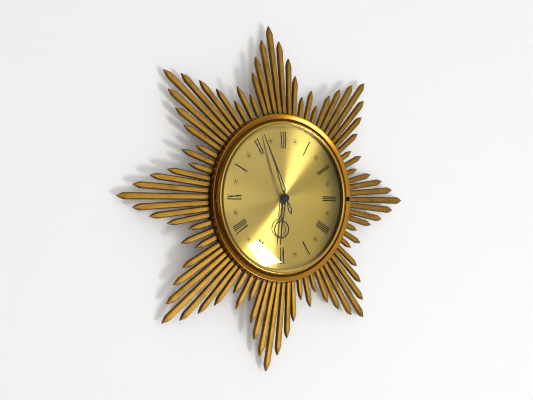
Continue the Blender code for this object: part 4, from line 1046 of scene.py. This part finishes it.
def make_knob():
    """A setting knob with 36 ribs on its stem, with the pinion at the far end."""
    low, high = heights("setting_knob")
    radius, top, steps = 0.0075, 0.0078, 144
    outline = [polar(radius - 0.00035 * (1.0 + math.cos(TURN * k / 4.0)), 360.0 * k / steps, KNOB)
               for k in range(steps)]
    knob = plate("knob_ribbed", [outline], low, top)
    stem = lathe("stem", ((0.0, top - 0.001), (0.0012, top - 0.001), (0.0012, high),
                          (0.0, high)), KNOB, SMALL, closed=False)
    dish = lathe("dish", ((0.0, low - 0.001), (0.0052, low - 0.001), (0.0045, low + 0.0008),
                          (0.0, low + 0.0010)), KNOB, 48, closed=False)
    pinion = plate("pinion", [gear(12, 0.0008, KNOB)], 0.0374, 0.0394)
    combine(knob, [stem, pinion], 'UNION')
    combine(knob, [dish])
    stand_for(smooth(soften(knob, 0.00012)), "setting_knob")


def gear(teeth, module, centre):
    """An outline of gear teeth with rounded tips."""
    pitch = 360.0 / teeth
    root, tip = module * (teeth / 2.0 - 1.15), module * (teeth / 2.0 + 0.85)
    outline = []
    for tooth in range(teeth):
        for radius, offset in ((root, -0.27), (tip * 0.98, -0.14), (tip, -0.06), (tip, 0.06),
                               (tip * 0.98, 0.14), (root, 0.27)):
            outline.append(polar(radius, 90.0 + (tooth + offset) * pitch, centre))
    return outline


def finish_movement():
    """CAD nodes whose own shape shows: only their material changes."""
    for node, item in frame["nodes"].items():
        if not item.hide_render:
            finish_as(item, node)


# ------ stage, light and camera

WALL_HALF, FLOOR_HEIGHT, WALL_TOP, WALL_Y = 4.0, -1.30, 3.0, 0.0004
NEAR_WALL = 0.012


def make_stage():
    """A floor, and a white wall that is clear from behind and to rays that meet it soon."""
    outline = rectangle(-WALL_HALF, WALL_HALF, FLOOR_HEIGHT, WALL_TOP)
    wall = sheet("stage_wall", [(x, WALL_Y, z) for x, z in outline])
    wall_paint, tree, shader = new_material("wall_paint", (0.87, 0.87, 0.87), 0.0, 0.75)
    bump(tree, shader, noise(tree, 120.0, detail=5.0), 0.04, 0.001)
    behind = add(tree, "NewGeometry").outputs["Backfacing"]
    light_path = add(tree, "LightPath").outputs
    near = maths(tree, 'LESS_THAN', light_path["Ray Length"], NEAR_WALL)
    lamp_ray = maths(tree, 'MAXIMUM', light_path["Is Shadow Ray"], near)
    surface(tree, add(tree, "MixShader", {0: maths(tree, 'MAXIMUM', behind, lamp_ray),
                                          1: shader.outputs[0],
                                          2: add(tree, "BsdfTransparent").outputs[0]}))
    wall.data.materials.append(wall_paint)

    floor = block(-WALL_HALF, WALL_HALF, FLOOR_HEIGHT - 0.01, FLOOR_HEIGHT, -1.0, 5.0)
    floor.name = "stage_floor"
    floor_paint, tree, shader = new_material("floor_paint", (0.72, 0.71, 0.69), 0.0, 0.6)
    bump(tree, shader, noise(tree, 40.0), 0.05, 0.001)
    floor.data.materials.append(floor_paint)


# (azimuth, elevation) in degrees of the window's corners, seen from the clock
WINDOW_CORNERS = ((14.6, -19.0), (20.0, -16.5), (36.1, -24.1), (25.8, -27.1))
WINDOW_DISTANCE, WINDOW_LIGHT = 2.6, 36.0
ROOM_BRIGHTNESS = 0.82


def make_world():
    """A pale room: a dimmer floor, dark sides, and brighter in front of the clock."""
    world = bpy.data.worlds.new("room")
    bpy.context.scene.world = world
    world.use_nodes = True
    tree = world.node_tree
    direction = add(tree, "TexCoord").outputs["Generated"]
    x, _, z = add(tree, "SeparateXYZ", {"Vector": direction}).outputs
    upper = mix_colour(tree, remap(tree, z, 0.0, 0.7, smoothly=True), (0.72, 0.72, 0.72),
                       (0.80, 0.80, 0.80))
    tone = mix_colour(tree, remap(tree, z, -0.5, 0.0, smoothly=True), (0.50, 0.49, 0.47), upper)

    def lobe(towards, inner, outer):
        """1 within an angle of a direction, 0 beyond another."""
        dot = add(tree, "VectorMath", {0: direction, 1: Vector(towards).normalized()},
                  operation='DOT_PRODUCT').outputs["Value"]
        return remap(tree, dot, math.cos(math.radians(outer)), math.cos(math.radians(inner)),
                     0.0, 1.0, True)

    side = remap(tree, x, 0.56, 0.80, smoothly=True)
    level = remap(tree, maths(tree, 'ABSOLUTE', z), 0.14, 0.42, 1.0, 0.0, True)
    tone = mix_colour(tree, product(tree, side, level), tone, (0.13, 0.125, 0.12))
    tone = mix_colour(tree, lobe((-1.0, -0.15, 0.0), 15.0, 42.0), tone, (0.14, 0.13, 0.12))
    tone = mix_colour(tree, lobe((0.03, -0.97, 0.22), 15.0, 50.0), tone, (1.30, 1.30, 1.30))
    tone = mix_colour(tree, lobe((-0.52, -0.85, 0.03), 8.0, 24.0), tone, (2.3, 2.3, 2.3))
    shade = tree.nodes["Background"]
    tree.links.new(tone, shade.inputs["Color"])
    shade.inputs["Strength"].default_value = ROOM_BRIGHTNESS


def make_window():
    """The key light: a window to the right of the viewer, below the clock."""
    corners = []
    for azimuth, elevation in WINDOW_CORNERS:
        flat, rise = math.radians(azimuth), math.radians(elevation)
        towards = Vector((math.sin(flat) * math.cos(rise), -math.cos(flat) * math.cos(rise),
                          math.sin(rise)))
        corners.append(towards * WINDOW_DISTANCE)
    window = sheet("stage_window", corners)
    material, tree = blank_material("window_light")
    surface(tree, add(tree, "Emission", {"Strength": WINDOW_LIGHT}))
    window.data.materials.append(material)
    window.visible_camera = False


CAMERA_PLACE = (-1.1858, -1.7261, -0.0384)
CAMERA_FORWARD = (0.5678, 0.8230, 0.0173)
CAMERA_ROLL, CAMERA_LENS = 0.35, 108.3          # degrees; mm on a 36 mm sensor


def make_camera():
    data = bpy.data.cameras.new("camera")
    data.lens = CAMERA_LENS
    camera = place_in_scene("camera", data)
    forward = Vector(CAMERA_FORWARD).normalized()
    right = forward.cross(Vector((0.0, 0.0, 1.0))).normalized()
    level = Matrix((right, right.cross(forward), -forward)).transposed().to_4x4()
    roll = Matrix.Rotation(math.radians(CAMERA_ROLL), 4, 'Z')
    camera.matrix_world = Matrix.Translation(CAMERA_PLACE) @ level @ roll
    bpy.context.scene.camera = camera
    bpy.context.scene.cycles.filter_width = 1.0


# ------ everything

make_camera()
make_stage()
make_world()
make_window()
bpy.context.scene.view_settings.view_transform = 'Standard'
make_rays()
make_bezel()
make_glass_ring()
make_crystal()
make_dial()
make_minute_hand()
make_hour_hand()
make_hand_nut()
make_case()
for number in range(1, 5):
    make_screw(f"bezel_bolt_{number}", f"bezel_screw_{number}", 0.0021, 0.0008, 0.0017)
for number in range(1, 4):
    make_screw(f"cover_bolt_{number}", f"cover_screw_{number}", 0.0026, 0.0011, 0.0011)
make_back_cover()
make_hanger()
make_battery_door()
make_knob()
finish_movement()
